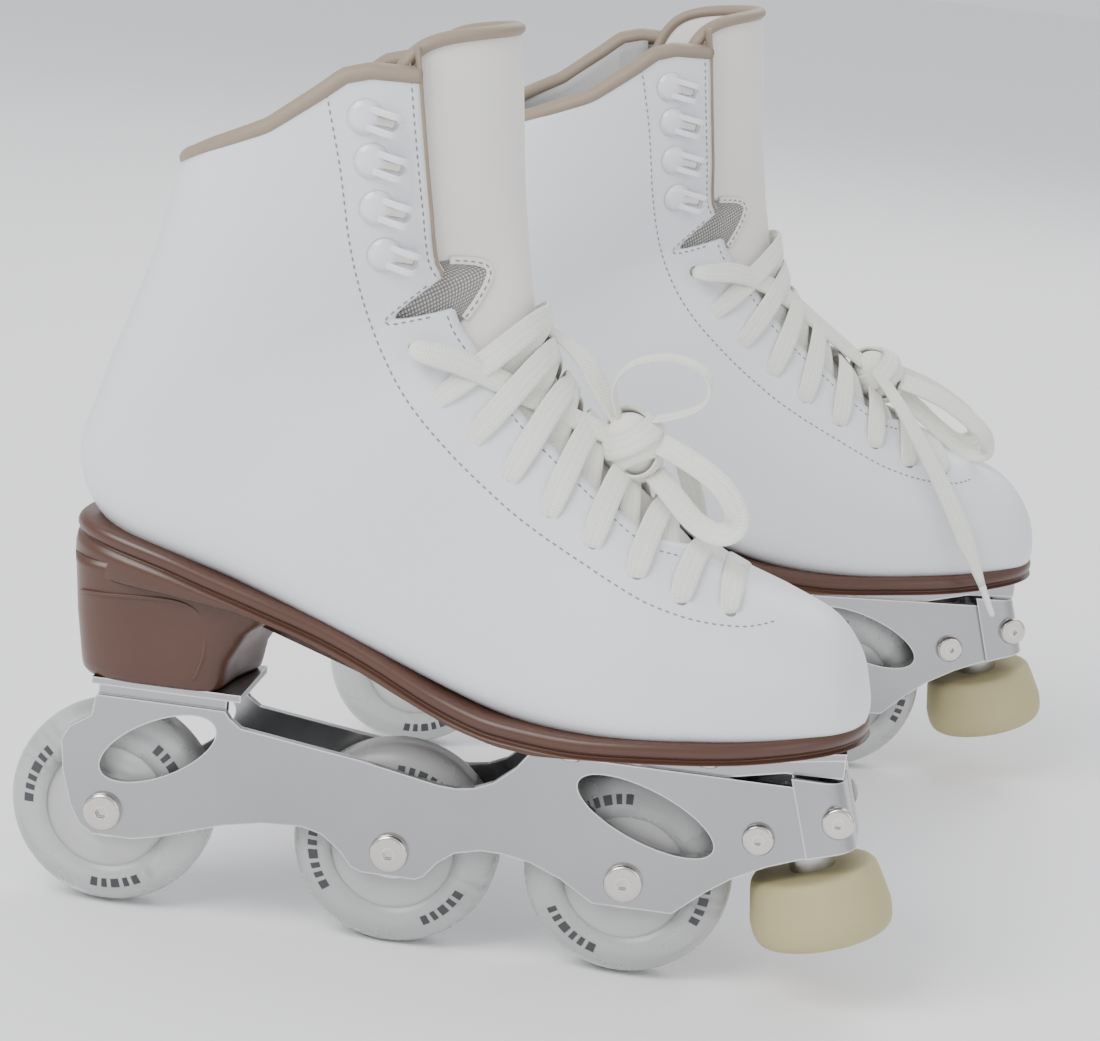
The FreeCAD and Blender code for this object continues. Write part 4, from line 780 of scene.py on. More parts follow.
def makeBindings(place):
    spec = bindingForm
    outer, inner = (upperGrid(place, inset, 12.0, 14.0, 4, 150, spec["drop"])[-1] for inset in spec["insets"])
    middle = (outer + inner) / 2
    across = inner - outer
    across /= np.linalg.norm(across, axis=1, keepdims=True)
    ahead = np.gradient(middle, axis=0)
    up = np.cross(across, ahead)
    up /= np.linalg.norm(up, axis=1, keepdims=True)
    up *= np.sign(up[:, 2:])
    points, faces = sweepPath(middle, across, up, roundSection(spec["across"], spec["high"]))
    roll = makeMesh(place["name"] + "Roll", toRow(place, points), faces, "taupeBinding")
    parts = [roll]
    for sign in (-1, 1):
        path, normal = facingLine(place, 10.64, 13.9, 0.1, sign, -1.9, 60)
        _, side, up = pathFrame(path, normal)
        points, faces = sweepPath(path, up, side, roundSection(spec["edgeAcross"], spec["edgeHigh"], 10))
        parts.append(makeMesh(place["name"] + "Edge", toRow(place, points), faces, "taupeBinding"))
    obj = joinPieces(parts, place["name"] + "CollarBinding")
    tidyMesh(obj)
    piece(obj, place["name"] + "_skate", [place["name"] + "_collar_binding"])
    at, angle, _ = tonguePlaces(tongueForm, 110, 60)
    keep = slice(3, -3)
    middle = bootPoint(at[-1, keep], angle[-1, keep], tongueForm["seam"] - 0.2, place)
    front = bootPoint(at[-1, keep], angle[-1, keep], tongueForm["outer"], place)
    across = middle - front
    across /= np.linalg.norm(across, axis=1, keepdims=True)
    up = np.cross(across, np.gradient(middle, axis=0))
    up /= np.linalg.norm(up, axis=1, keepdims=True)
    points, faces = sweepPath(middle, across, up, roundSection(3.1, 2.3))
    roll = makeMesh(place["name"] + "TongueBinding", toRow(place, points), faces, "taupeBinding")
    tidyMesh(roll)
    piece(roll, place["name"] + "_tongue")


# mesh gusset: woven cloth behind the flex slot, bulging on to the tongue, with a raised stitched rim
gussetForm = {"first": 9.05, "last": 11.0, "bulge": 0.105, "back": 0.115, "inset": 3.75, "wall": 0.5}


def gussetEdge(spec, at):   # how far past the facing edge the cloth reaches, in shares of the section's line
    q = np.clip((at - spec["first"]) / (spec["last"] - spec["first"]), 0, 1)
    return spec["bulge"] * np.sin(np.pi * q ** 1.15) ** 0.55


def makeGussets(place):
    spec = gussetForm
    rows, columns = 60, 30
    at = np.linspace(spec["first"], spec["last"], rows)
    row = smoothTable(bootForm["stations"], at)
    facing = np.interp(at, [9.0, 10.0, 11.0], [0.833, 0.818, 0.80])
    wide = (spec["back"] + gussetEdge(spec, at))[:, None]
    share = np.linspace(0, 1, columns)[None, :] * wide + (facing - spec["back"])[:, None]
    angle = angleOf(share, np.repeat(row[:, 5:6], columns, 1), np.repeat(row[:, 6:7], columns, 1))
    for sign, word in ((-1, "Near"), (1, "Far")):
        turned = angle if sign > 0 else np.pi - angle
        formPatch(place, "Gusset" + word, "meshCloth", at[:, None] + 0 * turned, turned, spec)
        edge = bootPoint(at[2:-2], turned[2:-2, -1], spec["inset"] - 0.2, place)
        normal = bootNormal(at[2:-2], turned[2:-2, -1], place)
        rim = makeStrip(place, "GussetRim" + word, edge, normal, 2.6, 1.1, "creamTongue")
        tidyMesh(rim)
        piece(rim, place["name"] + "_skate")
        along = np.linspace(0, len(edge) - 1, 80)
        path = (smoothTable(edge + normal * 0.55, along), smoothTable(normal, along))
        makeStitches(place, "GussetStitches" + word, [path])


# hooks: a domed pad, and a slotted strap that rises, runs forward and curls down at its round end
hookForm = {"spots": [(74.6, 286.9), (77.7, 272.7), (80.2, 258.0), (83.6, 242.5)], "pad": 4.9,
            "reach": 12.0, "half": 3.0,
            "rise": 4.2, "strap": 2.3, "thick": 1.25, "ahead": (0.985, 0, -0.17), "rows": 18, "columns": 28}


def makeHooks(place):
    spec = hookForm
    parts, steel = [], []
    for sign in (-1, 1):
        xs, zs = np.array(spec["spots"]).T
        places, normals = findOnBoot(xs, zs, sign, 0.0, place)
        for at, normal in zip(places, normals):
            ahead = np.array(spec["ahead"])
            ahead -= normal * (ahead @ normal)
            ahead /= np.linalg.norm(ahead)
            side = np.cross(normal, ahead)
            axes = np.stack([ahead, side, normal])
            t = np.linspace(0, 1, spec["rows"])
            dome = np.stack([spec["pad"] * np.sqrt(np.clip(1 - t ** 2.6, 0, 1)), 0.2 + 1.7 * t], -1)
            low = dome[:1]
            base = np.concatenate([low * (1.14, 1), low * (1.14, 0) + (0, 0.75), low * (0.3, 0) + (0, 0.85)])
            around = np.linspace(0, 2 * np.pi, spec["columns"], endpoint=False)
            for profile, wide in ((dome, 1.0), (base, 1.02)):
                points = toRow(place, spunProfile(profile, around, wide).reshape(-1, 3) @ axes + at)
                faces = gridFaces(len(profile), spec["columns"], wrapColumns=True)
                parts.append(makeMesh("hookPad", points, faces, "whiteEnamel"))
            half, reach = spec["half"], spec["reach"]
            bend = np.linspace(-np.pi / 2, np.pi / 2, 15)
            leg = np.linspace(1.0, reach - half, 16)[:-1]
            alongs = np.concatenate([leg, reach - half + half * np.cos(bend), leg[::-1]])
            asides = np.concatenate([np.full(15, -half), half * np.sin(bend), np.full(15, half)])
            f = alongs / reach
            rise = spec["rise"] * np.sin(np.clip(f * 1.25, 0, 1) * np.pi / 2) ** 1.6
            heights = 0.9 + rise - 3.4 * np.clip((f - 0.76) / 0.24, 0, 1) ** 2
            path = np.stack([alongs, asides, heights], -1) @ axes + at
            parts.append(makeStrip(place, "HookStrap", path, normal, spec["strap"], spec["thick"], "whiteEnamel"))
            tongue = np.stack([np.linspace(2.5, 9.5, 10), np.zeros(10), np.linspace(0.9, 1.6, 10)], -1) @ axes + at
            steel.append(makeStrip(place, "HookSteel", tongue, normal, 3.4, 0.8, "platedSteel"))
            foot = np.stack([np.linspace(0, reach - 2.5, 10), np.zeros(10), np.full(10, 0.45)], -1) @ axes + at
            steel.append(makeStrip(place, "HookFoot", foot, normal, 7.0, 0.9, "whiteEnamel"))
    obj = joinPieces(parts + steel, place["name"] + "Hooks")
    tidyMesh(obj)
    piece(obj, place["name"] + "_skate", [place["name"] + "_hooks"])


# laces: each ribbon leaves an eyelet, rides over the facing, crosses the throat and tucks under the other facing
laceForm = {"width": 8.4, "thick": 1.5,
            "eyelets": [(95.6, 212.4), (106.7, 198.3), (118.8, 186.5), (131.8, 175.3), (146.1, 165.4), (161.1, 157.0),
                        (176.6, 148.8), (191.8, 141.8), (207.7, 138.5)]}


def eyeletPlaces():
    at = np.linspace(3.2, 10.5, 900)
    row, x0, z0, x1, z1, length = sectionLines(at)
    result = []
    for x, z in laceForm["eyelets"]:
        share = ((x - x0) * (x1 - x0) + (z - z0) * (z1 - z0)) / length ** 2
        i = int(np.argmin(np.hypot(x - x0 - share * (x1 - x0), z - z0 - share * (z1 - z0))))
        result.append((at[i], float(angleOf(np.array(share[i]), row[i, 5], row[i, 6]))))
    return result


def crossingPath(place, start, stop, sign, lift, count=46):   # places and angles slide from one eyelet to the far edge
    q = np.linspace(-0.035, 1, count)
    at = start[0] + (stop[0] - start[0]) * np.clip(q, 0, 1) ** 1.15
    low, high = start[1], np.pi - stop[1]
    angle = low + (high - low) * q
    out = np.interp(q, [-0.035, -0.005, 0.06, 0.30, 0.5, 0.68, 0.80, 1], [-2.4, 0.5, 1.5, 1.3, lift, -0.6, -3.4, -3.7])
    angle = angle if sign > 0 else np.pi - angle
    return bootPoint(at, angle, -out, place), bootNormal(at, angle, place)


# the knot: a core and three wraps, each with its two radii, its shift, its yaw in degrees and its width
knotForm = {"core": (11.0, 9.4, 8.8),
            "wraps": [(10.0, 11.6, -4.2, 12, 8.0), (9.4, 11.0, 4.4, -16, 7.8), (12.4, 10.4, 0.4, 62, 7.6)]}


def makeLaces(place):
    eyelets = eyeletPlaces()
    width, thick = laceForm["width"], laceForm["thick"]
    parts = []
    for i in range(1, len(eyelets) - 1):
        for sign in (-1, 1):
            here, there = eyelets[i], eyelets[i + 1]
            stop = (here[0] + (there[0] - here[0]) * 0.75, there[1])
            path, normal = crossingPath(place, here, stop, sign, 0.9 if (i % 2) == (sign > 0) else -0.4)
            q = np.linspace(0, 1, len(path))
            widths = np.interp(q, [0, 0.03, 0.10, 1], [0.55, 0.85, 1.0, 1.0])
            parts.append(makeStrip(place, "Lace", path, normal, width, thick * 1.15, "laceCotton", widths))
    last = eyelets[-1]
    path, normal = crossingPath(place, last, (last[0] - 0.02, last[1]), -1, 1.2)
    halves = [line[:26] for line in (path, normal)]
    path, normal = (smoothPath(np.concatenate([half, half[::-1] * (1, -1, 1)]), 60) for half in halves)
    widths = np.interp(np.linspace(0, 1, 60), [0, 0.05, 0.15, 0.85, 0.95, 1], [0.5, 0.8, 1, 1, 0.8, 0.5])
    parts.append(makeStrip(place, "Lace", path, normal, width, thick, "laceCotton", widths))
    spec = bowForm[place["name"]]
    widths = np.interp(np.linspace(0, 1, 48), [0, 0.05, 0.15, 1], [0.55, 0.85, 1, 1])
    for line, out in spec["bands"]:
        path, normal = smoothPath(line, 48), smoothPath(out, 48)
        parts.append(makeStrip(place, "Band", path, normal, width, thick, "laceCotton", widths))
    centre, lean = np.array(spec["knot"]), math.radians(spec["lean"])
    turned = np.array([(math.cos(lean), 0, -math.sin(lean)), (0, 1, 0), (math.sin(lean), 0, math.cos(lean))])
    core = toRow(place, (sphereGrid(18, 28) * knotForm["core"]).reshape(-1, 3) @ turned + centre)
    parts.append(makeMesh(place["name"] + "KnotCore", core, gridFaces(18, 28, wrapColumns=True), "laceCotton"))
    turn = np.linspace(0, 2 * np.pi, 56, endpoint=False)
    for a, b, shift, yaw, wide in knotForm["wraps"]:
        ring = np.stack([shift + 0 * turn, a * np.cos(turn), b * np.sin(turn) * 0.86], -1)
        yawed = math.radians(yaw)
        spin = np.array([(math.cos(yawed), math.sin(yawed), 0), (-math.sin(yawed), math.cos(yawed), 0), (0, 0, 1)])
        ring = ring @ spin @ turned
        out = ring / np.linalg.norm(ring, axis=1, keepdims=True)
        parts.append(makeStrip(place, "Wrap", ring + centre, out, wide, thick, "laceCotton", closedPath=True))
    obj = joinPieces(parts, place["name"] + "Lace")
    tidyMesh(obj)
    piece(obj, place["name"] + "_skate", [place["name"] + "_lace"])


def sphereGrid(rows, columns):
    around = np.linspace(0, 2 * np.pi, columns, endpoint=False)
    tall, around = np.meshgrid(np.linspace(-np.pi / 2, np.pi / 2, rows), around, indexing="ij")
    return np.stack([np.cos(tall) * np.cos(around), np.cos(tall) * np.sin(around), np.sin(tall)], -1)


def makeEyelets(place):   # punched holes: dark rings sunk in the leather, their dark painted shade filling each hole
    parts = []
    around = np.linspace(0, 2 * np.pi, 20, endpoint=False)
    for at, angle in eyeletPlaces():
        for turned in (angle, np.pi - angle):
            middle = bootPoint(np.array(at), np.array(turned), -0.06, place)
            normal = bootNormal(np.array(at), np.array(turned), place)
            side = np.cross(normal, (1.0, 0, 0))
            side /= np.linalg.norm(side)
            other = np.cross(normal, side)
            rings = np.stack([r * circleOf(around, side, other) + middle + h * normal
                              for r, h in ((2.5, -0.25), (2.45, 0.03), (1.9, 0.0), (0.05, -0.25))])
            points = toRow(place, rings.reshape(-1, 3))
            parts.append(makeMesh("eyelet", points, gridFaces(4, 20, wrapColumns=True), "greyThread"))
    obj = joinPieces(parts, place["name"] + "Eyelets")
    tidyMesh(obj, recalculate=False)
    piece(obj, place["name"] + "_skate")


# the bows, route by route: within 6 mm of the solids' own routes, with each band's flat side
nearBandOut = [(-0.1, -0.95, 0.2), (0.0, -0.95, 0.3), (0.1, -0.8, 0.6), (0.25, -0.6, 0.75), (0.3, -0.6, 0.75),
               (0.3, -0.6, 0.75)]
bowForm = {
    "right": {
        "knot": (168.5, -5.0, 185.5), "lean": 60.0,
        "loops": [
            ([(163.0, -5.0, 194.0), (158.5, -7.0, 203.0), (164.0, -9.0, 213.0), (177.0, -10.0, 217.5),
              (190.5, -10.0, 214.5), (193.5, -9.0, 204.5), (184.5, -8.0, 197.5), (174.5, -6.0, 195.0)], "edge"),
            ([(176.5, -10.0, 188.0), (189.0, -14.0, 184.0), (201.5, -18.0, 177.0), (208.0, -20.5, 167.0),
              (202.5, -19.5, 160.5), (192.5, -16.5, 163.5), (184.5, -13.0, 171.0), (177.0, -10.0, 177.5)], "flat"),
        ],
        "ends": [
            [(172.0, 6.0, 187.0), (178.0, 19.0, 185.0), (184.0, 33.0, 174.0),
             (189.0, 44.0, 156.0), (192.0, 50.5, 136.0), (196.0, 52.5, 116.0)],
            [(166.0, 7.0, 189.0), (162.0, 21.0, 189.0), (158.0, 35.0, 179.0),
             (155.0, 45.0, 161.0), (151.0, 49.5, 141.0), (150.0, 49.5, 121.0)],
        ],
        "bands": [
            ([(94.5, -30.0, 213.0), (99.0, -32.5, 212.5), (112.0, -28.5, 209.5),
              (130.0, -20.0, 201.5), (148.0, -12.0, 193.0), (162.0, -7.0, 187.5)],
             nearBandOut),
            ([(96.0, 30.0, 212.5), (101.0, 30.0, 216.0), (112.0, 22.0, 220.5), (130.0, 10.0, 220.0),
              (147.0, 2.0, 212.0), (156.0, -2.0, 201.0), (163.0, -4.0, 192.0)],
             [(0.0, 0.9, 0.4), (0.0, 0.7, 0.7), (0.2, 0.2, 0.95), (0.3, -0.3, 0.9), (0.5, -0.5, 0.7),
              (0.7, -0.4, 0.6), (0.7, -0.4, 0.5)]),
        ],
    },
    "left": {
        "knot": (183.0, -3.0, 172.0), "lean": 45.0,
        "loops": [
            ([(192.0, -9.0, 171.0), (205.0, -14.0, 168.0), (218.5, -18.0, 160.5), (229.0, -19.5, 152.5),
              (231.0, -17.0, 145.0), (224.0, -13.0, 142.5), (213.0, -10.0, 150.0),
              (202.5, -8.0, 158.5), (192.0, -6.0, 165.5)], "flat"),
            ([(193.0, 2.0, 172.5), (206.5, 5.0, 168.5), (220.5, 8.0, 161.0), (231.0, 9.0, 153.5),
              (233.5, 8.5, 146.0), (226.5, 7.5, 142.5), (214.5, 6.5, 150.0),
              (203.5, 5.0, 159.0), (193.0, 3.5, 166.0)], "flat"),
        ],
        "ends": [
            [(181.0, -12.0, 174.0), (186.0, -24.0, 167.0), (195.0, -37.0, 152.0),
             (205.0, -48.0, 134.0), (215.0, -54.5, 115.0), (224.0, -56.0, 96.0)],
            [(177.0, 6.0, 177.0), (172.0, 20.0, 178.0), (167.0, 34.0, 168.5),
             (164.0, 44.0, 151.0), (161.0, 49.0, 131.0), (161.0, 50.0, 111.0)],
        ],
        "bands": [
            ([(94.5, -30.0, 213.0), (99.0, -32.5, 213.0), (114.0, -27.0, 213.0),
              (132.0, -18.0, 206.5), (152.0, -10.0, 193.5), (176.0, -5.0, 177.0)],
             nearBandOut),
            ([(96.0, 30.0, 212.5), (101.0, 32.0, 213.5), (116.0, 24.0, 213.0),
              (136.0, 12.0, 204.5), (156.0, 3.0, 192.0), (177.0, -1.0, 178.0)],
             [(0.0, 0.9, 0.4), (0.0, 0.8, 0.6), (0.2, 0.5, 0.85), (0.3, 0.3, 0.9), (0.4, 0.2, 0.85), (0.5, 0.1, 0.8)]),
        ],
    },
}


def routeLine(place, name, points):   # the route as a smooth NURBS line, read back as points
    data = bpy.data.curves.new(name, "CURVE")
    data.dimensions = "3D"
    data.resolution_u = 10
    spline = data.splines.new("NURBS")
    spline.points.add(len(points) - 1)
    for point, at in zip(spline.points, toRow(place, points)):
        point.co = (*at, 1)
    spline.order_u = 3
    spline.use_endpoint_u = True
    obj = bpy.data.objects.new(name, data)
    bpy.context.scene.collection.objects.link(obj)
    mesh = bpy.data.meshes.new_from_object(obj)
    line = np.array([v.co for v in mesh.vertices])
    bpy.data.objects.remove(obj)
    bpy.data.meshes.remove(mesh)
    return line


def makeCord(place, name, points, lay, node, tip=None):
    line = routeLine(place, place["name"] + name, points)
    local = (line - place["origin"]) @ place["axes"].T / mm
    if lay == "edge":   # stands on its edge: the flat side turns with the loop, the width stays level
        ahead = np.gradient(local, axis=0)
        normal = np.cross(ahead, (0, 1.0, 0.12))
    elif lay == "flat":
        normal = np.broadcast_to(np.array((0.25, -0.80, 0.55)), local.shape)
    else:
        sign = 1.0 if local[-1, 1] > 0 else -1.0
        down = np.linspace(0, 1, len(local))[:, None]
        normal = np.array((0.25, 0.1 * sign, 0.95)) * (1 - down) + np.array((0.1, sign, 0.15)) * down
    width = laceForm["width"]
    widths = np.ones(len(local))
    if tip is not None:
        widths = np.interp(np.linspace(0, 1, len(local)), [0, 0.86, 1], [1, 1, 0.36])
    obj = makeStrip(place, name, local, normal, width, laceForm["thick"], "laceCotton", widths)
    tidyMesh(obj)
    piece(obj, place["name"] + "_skate", [place["name"] + "_" + node])


def makeBow(place):
    bow = bowForm[place["name"]]
    for i, (points, lay) in enumerate(bow["loops"], start=1):
        makeCord(place, f"Loop{i}", points, lay, f"lace_loop_{i}")
    tips = []
    for points in bow["ends"]:
        last, before = np.array(points[-1]), np.array(points[-2])
        ahead = (last - before) / np.linalg.norm(last - before)
        t = np.linspace(0, 1, 16)
        side = np.cross(ahead, (1.0, 0, 0))
        side /= np.linalg.norm(side)
        other = np.cross(ahead, side)
        radius = np.interp(t, [0, 0.04, 0.1, 0.93, 1], [1.5, 1.75, 1.5, 1.3, 0.05])
        around = np.linspace(0, 2 * np.pi, 16, endpoint=False)
        grid = (last + ahead * 14 * t[:, None])[:, None] + radius[:, None, None] * circleOf(around, side, other)
        rows = [tuple(f) for f in gridFaces(16, 16, wrapColumns=True)] + [tuple(range(16))]
        tips.append(makeMesh(place["name"] + "Tip", toRow(place, grid.reshape(-1, 3)), rows, "tipPlastic"))
    obj = joinPieces(tips, place["name"] + "Aglets")
    tidyMesh(obj)
    piece(obj, place["name"] + "_skate", [place["name"] + "_aglets"])
    for i, points in enumerate(bow["ends"], start=1):
        makeCord(place, f"End{i}", points, "hang", f"lace_end_{i}", obj if i == 1 else None)


# sole: a welt slab and a heel, each a stack of outlines from its top edge to its foot
soleForm = {
    "plan": [(-0.5, 0.0), (1.5, 14.0), (11.5, 24.5), (32.0, 30.5), (67.5, 33.0), (97.5, 34.0), (127.5, 38.0),
             (157.5, 44.0), (187.5, 47.5), (217.5, 46.5), (242.5, 41.0), (260.5, 31.5), (271.5, 18.0), (275.5, 0.0)],
    "under": [(-17.5, 121.0), (20.0, 119.5), (45.0, 117.0), (64.4, 111.8), (81.6, 105.5), (101.2, 97.1),
              (120.6, 89.6), (136.6, 86.0), (150.0, 85.0), (262.0, 95.0)],
    "swing": 5.0, "behind": 17.5,
    # the edge from the top: millimetres down and outward shift through bead and groove
    "edge": [(0.0, -9.0), (0.0, -1.6), (0.7, -0.5), (2.0, 0.1), (3.6, 0.1), (4.8, -0.4), (5.3, -1.3), (5.6, -1.5),
             (6.1, -1.2), (6.5, -0.1)],
    # then shares of the slab's depth below that, down to its rounded foot
    "slab": [(0.25, 0.4), (0.55, 0.3), (0.85, 0.0), (0.95, -0.6), (1.0, -2.0), (1.0, -10.0)],
}
# each pair: at the heel's top, at its foot
heelForm = {"seat": 85.6, "top": 121.0, "rear": (-17.6, -12.6), "breast": (50.0, 46.5), "half": (27.5, 24.5),
            "flare": 34.0, "middle": 24.0,
            "levels": [(1.0, 0.0), (0.9, 0.0), (0.6, 0.0), (0.3, 0.0), (0.12, 0.0), (0.045, -0.3),
                       (0.0, -1.5), (0.0, -12.0)],
            "panel": [(30.0, 90.0), (33.0, 101.0), (31.5, 112.0), (22.0, 117.0), (-4.0, 116.0), (-12.0, 115.0)]}


def solePlan(place, count=168):   # the sole seen from above: the half plan mirrored, swung towards the big toe
    half = np.array(soleForm["plan"])
    ring = np.concatenate([half, half[-2:0:-1] * (1, -1)])
    ring[:, 1] += place["bigToe"] * soleForm["swing"] * np.clip((ring[:, 0] - 120) / 150, 0, None) ** 2
    ring[:, 0] -= soleForm["behind"]
    closed = np.concatenate([ring[-2:], ring, ring[:3]])
    fine = smoothTable(closed, np.linspace(2, len(closed) - 3, 40 * len(ring)))
    run = np.concatenate([[0], np.cumsum(np.linalg.norm(np.diff(fine, axis=0), axis=1))])
    at = np.linspace(0, run[-1], count, endpoint=False)
    return np.stack([np.interp(at, run, fine[:, k]) for k in range(2)], -1)


def ringNormals(ring):
    ahead = np.roll(ring, -1, axis=0) - np.roll(ring, 1, axis=0)
    out = np.stack([ahead[:, 1], -ahead[:, 0]], -1)
    out /= np.linalg.norm(out, axis=1, keepdims=True)
    return out * np.sign(((ring - ring.mean(axis=0)) * out).sum())


def stackMesh(name, place, rings, look):
    rings = np.stack(rings)
    rows, columns = rings.shape[:2]
    return makeMesh(place["name"] + name, toRow(place, rings.reshape(-1, 3)), cappedFaces(rows, columns), look)


def heelAt(key, share):   # a measure of the heel at a share of the way up
    top, foot = heelForm[key]
    return foot + (top - foot) * share


def makeSole(place):
    ring = solePlan(place)
    out = ringNormals(ring)
    top = weltHeight(ring[:, 0]) + 0.6
    under = np.interp(ring[:, 0], *np.array(soleForm["under"]).T)
    depth = np.maximum(top - under, 7.0)
    edge = soleForm["edge"]
    rings = [np.concatenate([ring + out * shift, (top - down)[:, None]], 1) for down, shift in edge]
    for share, shift in soleForm["slab"]:
        low = top - edge[-1][0] - (depth - edge[-1][0]) * share
        rings.append(np.concatenate([ring + out * shift, low[:, None]], 1))
    slab = stackMesh("Slab", place, rings, "brownSole")
    spec = heelForm
    angle = np.linspace(0, 2 * np.pi, 96, endpoint=False)
    rings = []
    for share, shift in spec["levels"]:
        rear, half = heelAt("rear", share), heelAt("half", share)
        breast = heelAt("breast", share) + spec["flare"] * share ** 3.5
        c, s = np.cos(angle), np.sin(angle)
        y = half * np.sign(s) * np.abs(s) ** 0.55
        middle = rear + spec["middle"]
        far = np.abs(c)
        x = np.where(c < 0, middle + (middle - rear) * -far ** 0.9, middle + (breast - middle) * far ** 0.42)
        x = x + np.where(c > 0, -5.5 * (1 - (y / half) ** 2) * far + 5.0 * place["bigToe"] * y / half * far, 0)
        flat = np.stack([x, y], -1)
        flat = flat + ringNormals(flat) * shift
        z = spec["seat"] + (spec["top"] - spec["seat"]) * share + 0 * x
        lift = np.interp(flat[:, 0], *np.array(soleForm["under"]).T) + 2.0
        z = np.where(share > 0.85, np.minimum(z + 6.0, lift + 6.0), z)
        rings.append(np.concatenate([flat, z[:, None]], 1))
    heel = stackMesh("Heel", place, rings, "brownSole")
    lines = []
    for sign in (-1, 1):
        path = smoothPath([(x, sign * 30.0, z) for x, z in spec["panel"]], 60)
        share = np.clip((path[:, 2] - spec["seat"]) / (spec["top"] - spec["seat"]), 0, 1)
        rear, half = heelAt("rear", share), heelAt("half", share)
        middle = rear + spec["middle"]
        c = np.where(path[:, 0] < middle, ((middle - path[:, 0]) / (middle - rear)).clip(0, 1) ** (1 / 0.9),
                     ((path[:, 0] - middle) / (spec["breast"][1] - middle)).clip(0, 1) ** (1 / 0.42))
        path[:, 1] = sign * half * np.sqrt(np.clip(1 - c ** 2, 0, 1)) ** 0.55
        lines.append(makeStrip(place, "HeelLine", path, (0, sign, 0), 1.1, 0.9, "brownSole"))
    obj = joinPieces([slab, heel] + lines, place["name"] + "Sole")
    tidyMesh(obj)
    piece(obj, place["name"] + "_skate", [place["name"] + "_sole"])


# wheels: the tyre is turned from one profile; short dark bars in arcs stand for its printed ring
tyreForm = {"radius": 36.0, "hub": 21.6, "half": 12.0, "square": 3.2, "mark": (26.2, 29.6),
            "turn": {"rear": 0, "middle": 35, "front": 70},
            # each bar's start and width in degrees
            "bars": [(20, 5), (28, 4), (35, 6), (44, 4), (51, 5), (140, 4), (147, 4), (154, 7), (164, 4), (171, 4),
                     (178, 6), (262, 5), (270, 4), (277, 6), (286, 4), (293, 5)]}


def turned(place, name, profile, axle, look, count=96):   # a closed ring turned round an axle from (radius, y) points
    around = np.linspace(0, 2 * np.pi, count, endpoint=False)
    profile = np.array(profile)
    grid = np.array(axle) + spunProfile(profile, around)[..., [0, 2, 1]]
    faces = gridFaces(len(profile), count, wrapRows=True, wrapColumns=True)
    return makeMesh(place["name"] + name, toRow(place, grid.reshape(-1, 3)), faces, look)


def makeWheels(place):
    spec = tyreForm
    for axle, word in zip(place["axles"], ("rear", "middle", "front")):
        t = np.linspace(-1, 1, 41)
        crown = np.sign(t) * np.abs(t) ** 0.9
        y = spec["half"] * crown
        outside = spec["hub"] + (spec["radius"] - spec["hub"]) * (1 - np.abs(crown) ** spec["square"]) ** 0.5
        profile = [(r, v) for r, v in zip(outside, y)]
        profile[0], profile[-1] = (spec["hub"], -spec["half"] + 0.6), (spec["hub"], spec["half"] - 0.6)
        tyre = turned(place, "Tyre" + word, profile, axle, "clearUrethane")
        tidyMesh(tyre)
        body = f"{place['name']}_wheel_{word}"
        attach(tyre, body)
        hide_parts(f"{place['name']}_tyre_{word}")
        low, high = spec["mark"]
        points, faces = [], []
        for side in (-1, 1):
            for start, width in spec["bars"]:
                a = np.radians(np.linspace(start, start + width, 4) + spec["turn"][word])
                grid = []
                for r in np.linspace(low, high, 3):
                    share = (r - spec["hub"]) / (spec["radius"] - spec["hub"])
                    flat = spec["half"] * (1 - share ** 2) ** (1 / spec["square"])
                    ring = [r * np.cos(a), side * (flat + 0.10) + 0 * a, r * np.sin(a)]
                    grid.append(np.array(axle) + np.stack(ring, -1))
                base = len(points) * 12
                points.append(np.concatenate(grid))
                faces += [tuple(f) for f in gridFaces(3, 4, base=base)]
        points = toRow(place, np.concatenate(points))
        mark = makeMesh(place["name"] + "Print" + word, points, faces, "darkPrint", smooth=False)
        addModifier(mark, "SOLIDIFY", thickness=0.00008, offset=0)
        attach(mark, body)


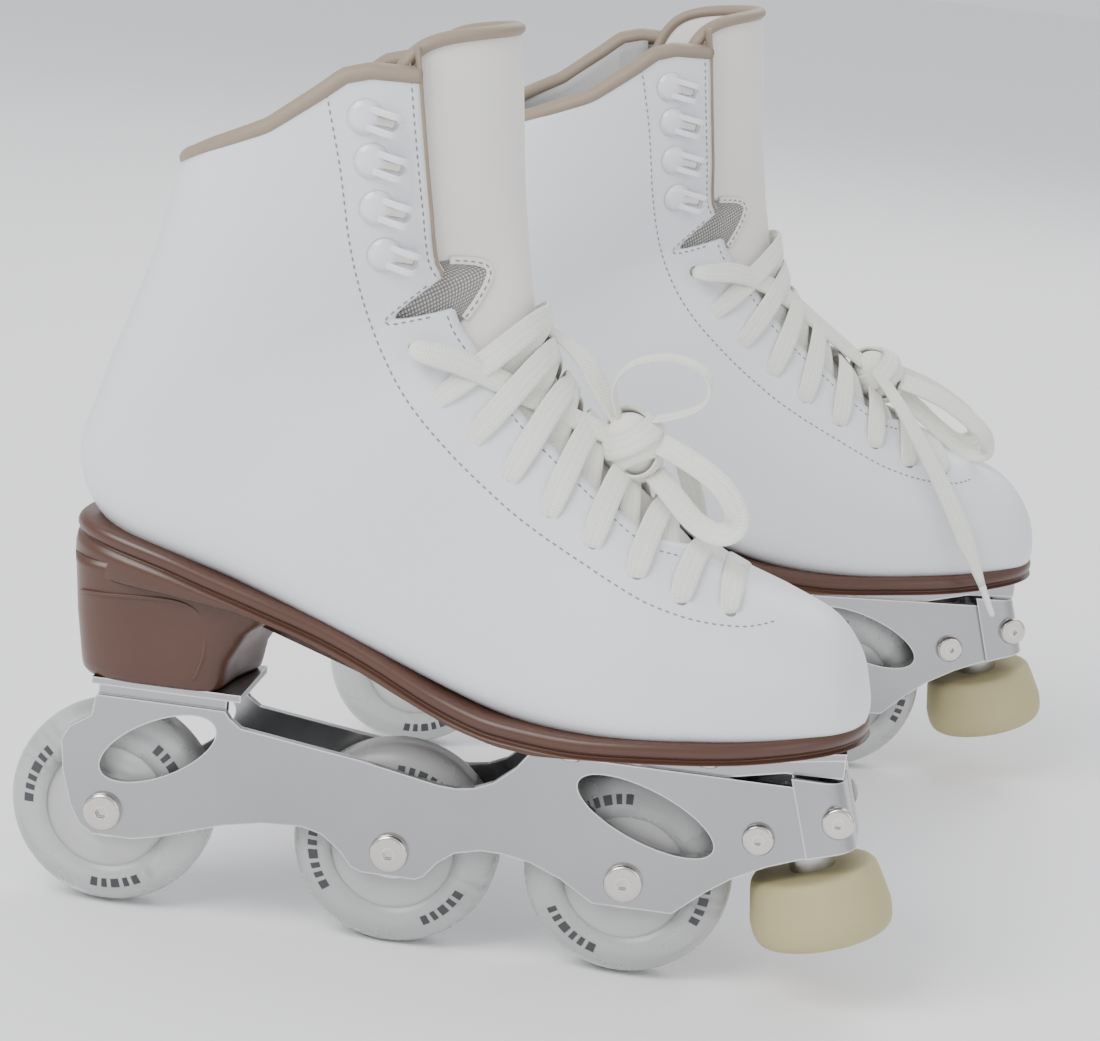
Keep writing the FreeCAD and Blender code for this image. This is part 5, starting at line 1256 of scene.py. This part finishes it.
# toe stop: the pad, turned from (radius, depth) points round its own tilted axis
stopForm = {"at": (243.7, 0.0, 50.0), "aim": (0.284, 0.0, -0.959),
            "profile": [(8.2, 3.6), (12.0, 3.6), (18.5, 3.7), (20.6, 4.2), (21.6, 5.2), (22.3, 7.0), (23.3, 12.0),
                        (24.2, 17.0), (24.5, 19.0), (24.35, 22.5), (23.8, 25.2), (22.6, 27.0), (20.6, 27.6),
                        (12.0, 27.6), (0.2, 27.6)]}


def makeToeStop(place):
    spec = stopForm
    aim = np.array(spec["aim"]) / np.linalg.norm(spec["aim"])
    side = np.array((0, 1.0, 0))
    other = np.cross(aim, side)
    around = np.linspace(0, 2 * np.pi, 96, endpoint=False)
    profile = smoothPath([(r, v, 0) for r, v in spec["profile"]], 70)[:, :2]
    rings = profile[:, None, 1:] * aim + profile[:, None, :1] * circleOf(around, side, other)
    pad = stackMesh("StopPad", place, rings + np.array(spec["at"]), "khakiRubber")
    tidyMesh(pad)
    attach(pad, place["name"] + "_toe_stop")
    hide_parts(place["name"] + "_toe_stop_pad")


for place in skates:
    makeUpper(place)
    makeLining(place)
    makeFootbed(place)
    print("uppers", place["name"])
    makeTongue(place)
    makeBindings(place)
    makeSeams(place)
    makeGussets(place)
    print("tongue, binding and seams", place["name"])
    makeHooks(place)
    makeEyelets(place)
    makeLaces(place)
    makeBow(place)
    print("laces", place["name"])
    makeSole(place)
    makeWheels(place)
    makeToeStop(place)
    print("sole, wheels and toe stop", place["name"])

# the solids that are drawn as they are
cadNodeLooks = {"frame": "brushedAluminium", "toe_stop_bracket": "brushedAluminium", "frame_bolts": "platedSteel",
                "mount_screws": "platedSteel", "inner_rings": "groundSteel", "toe_stop_stem": "groundSteel"}
wheelNodeLooks = {"hub": "milkyHub", "outer_rings": "groundSteel"}


def paintNode(node, look):
    obj = frame["nodes"][node]
    obj.data.materials.clear()
    obj.data.materials.append(looks[look])


for place in skates:
    for node, look in cadNodeLooks.items():
        paintNode(f"{place['name']}_{node}", look)
    for node, look in wheelNodeLooks.items():
        for wheel in ("rear", "middle", "front"):
            paintNode(f"{place['name']}_{node}_{wheel}", look)
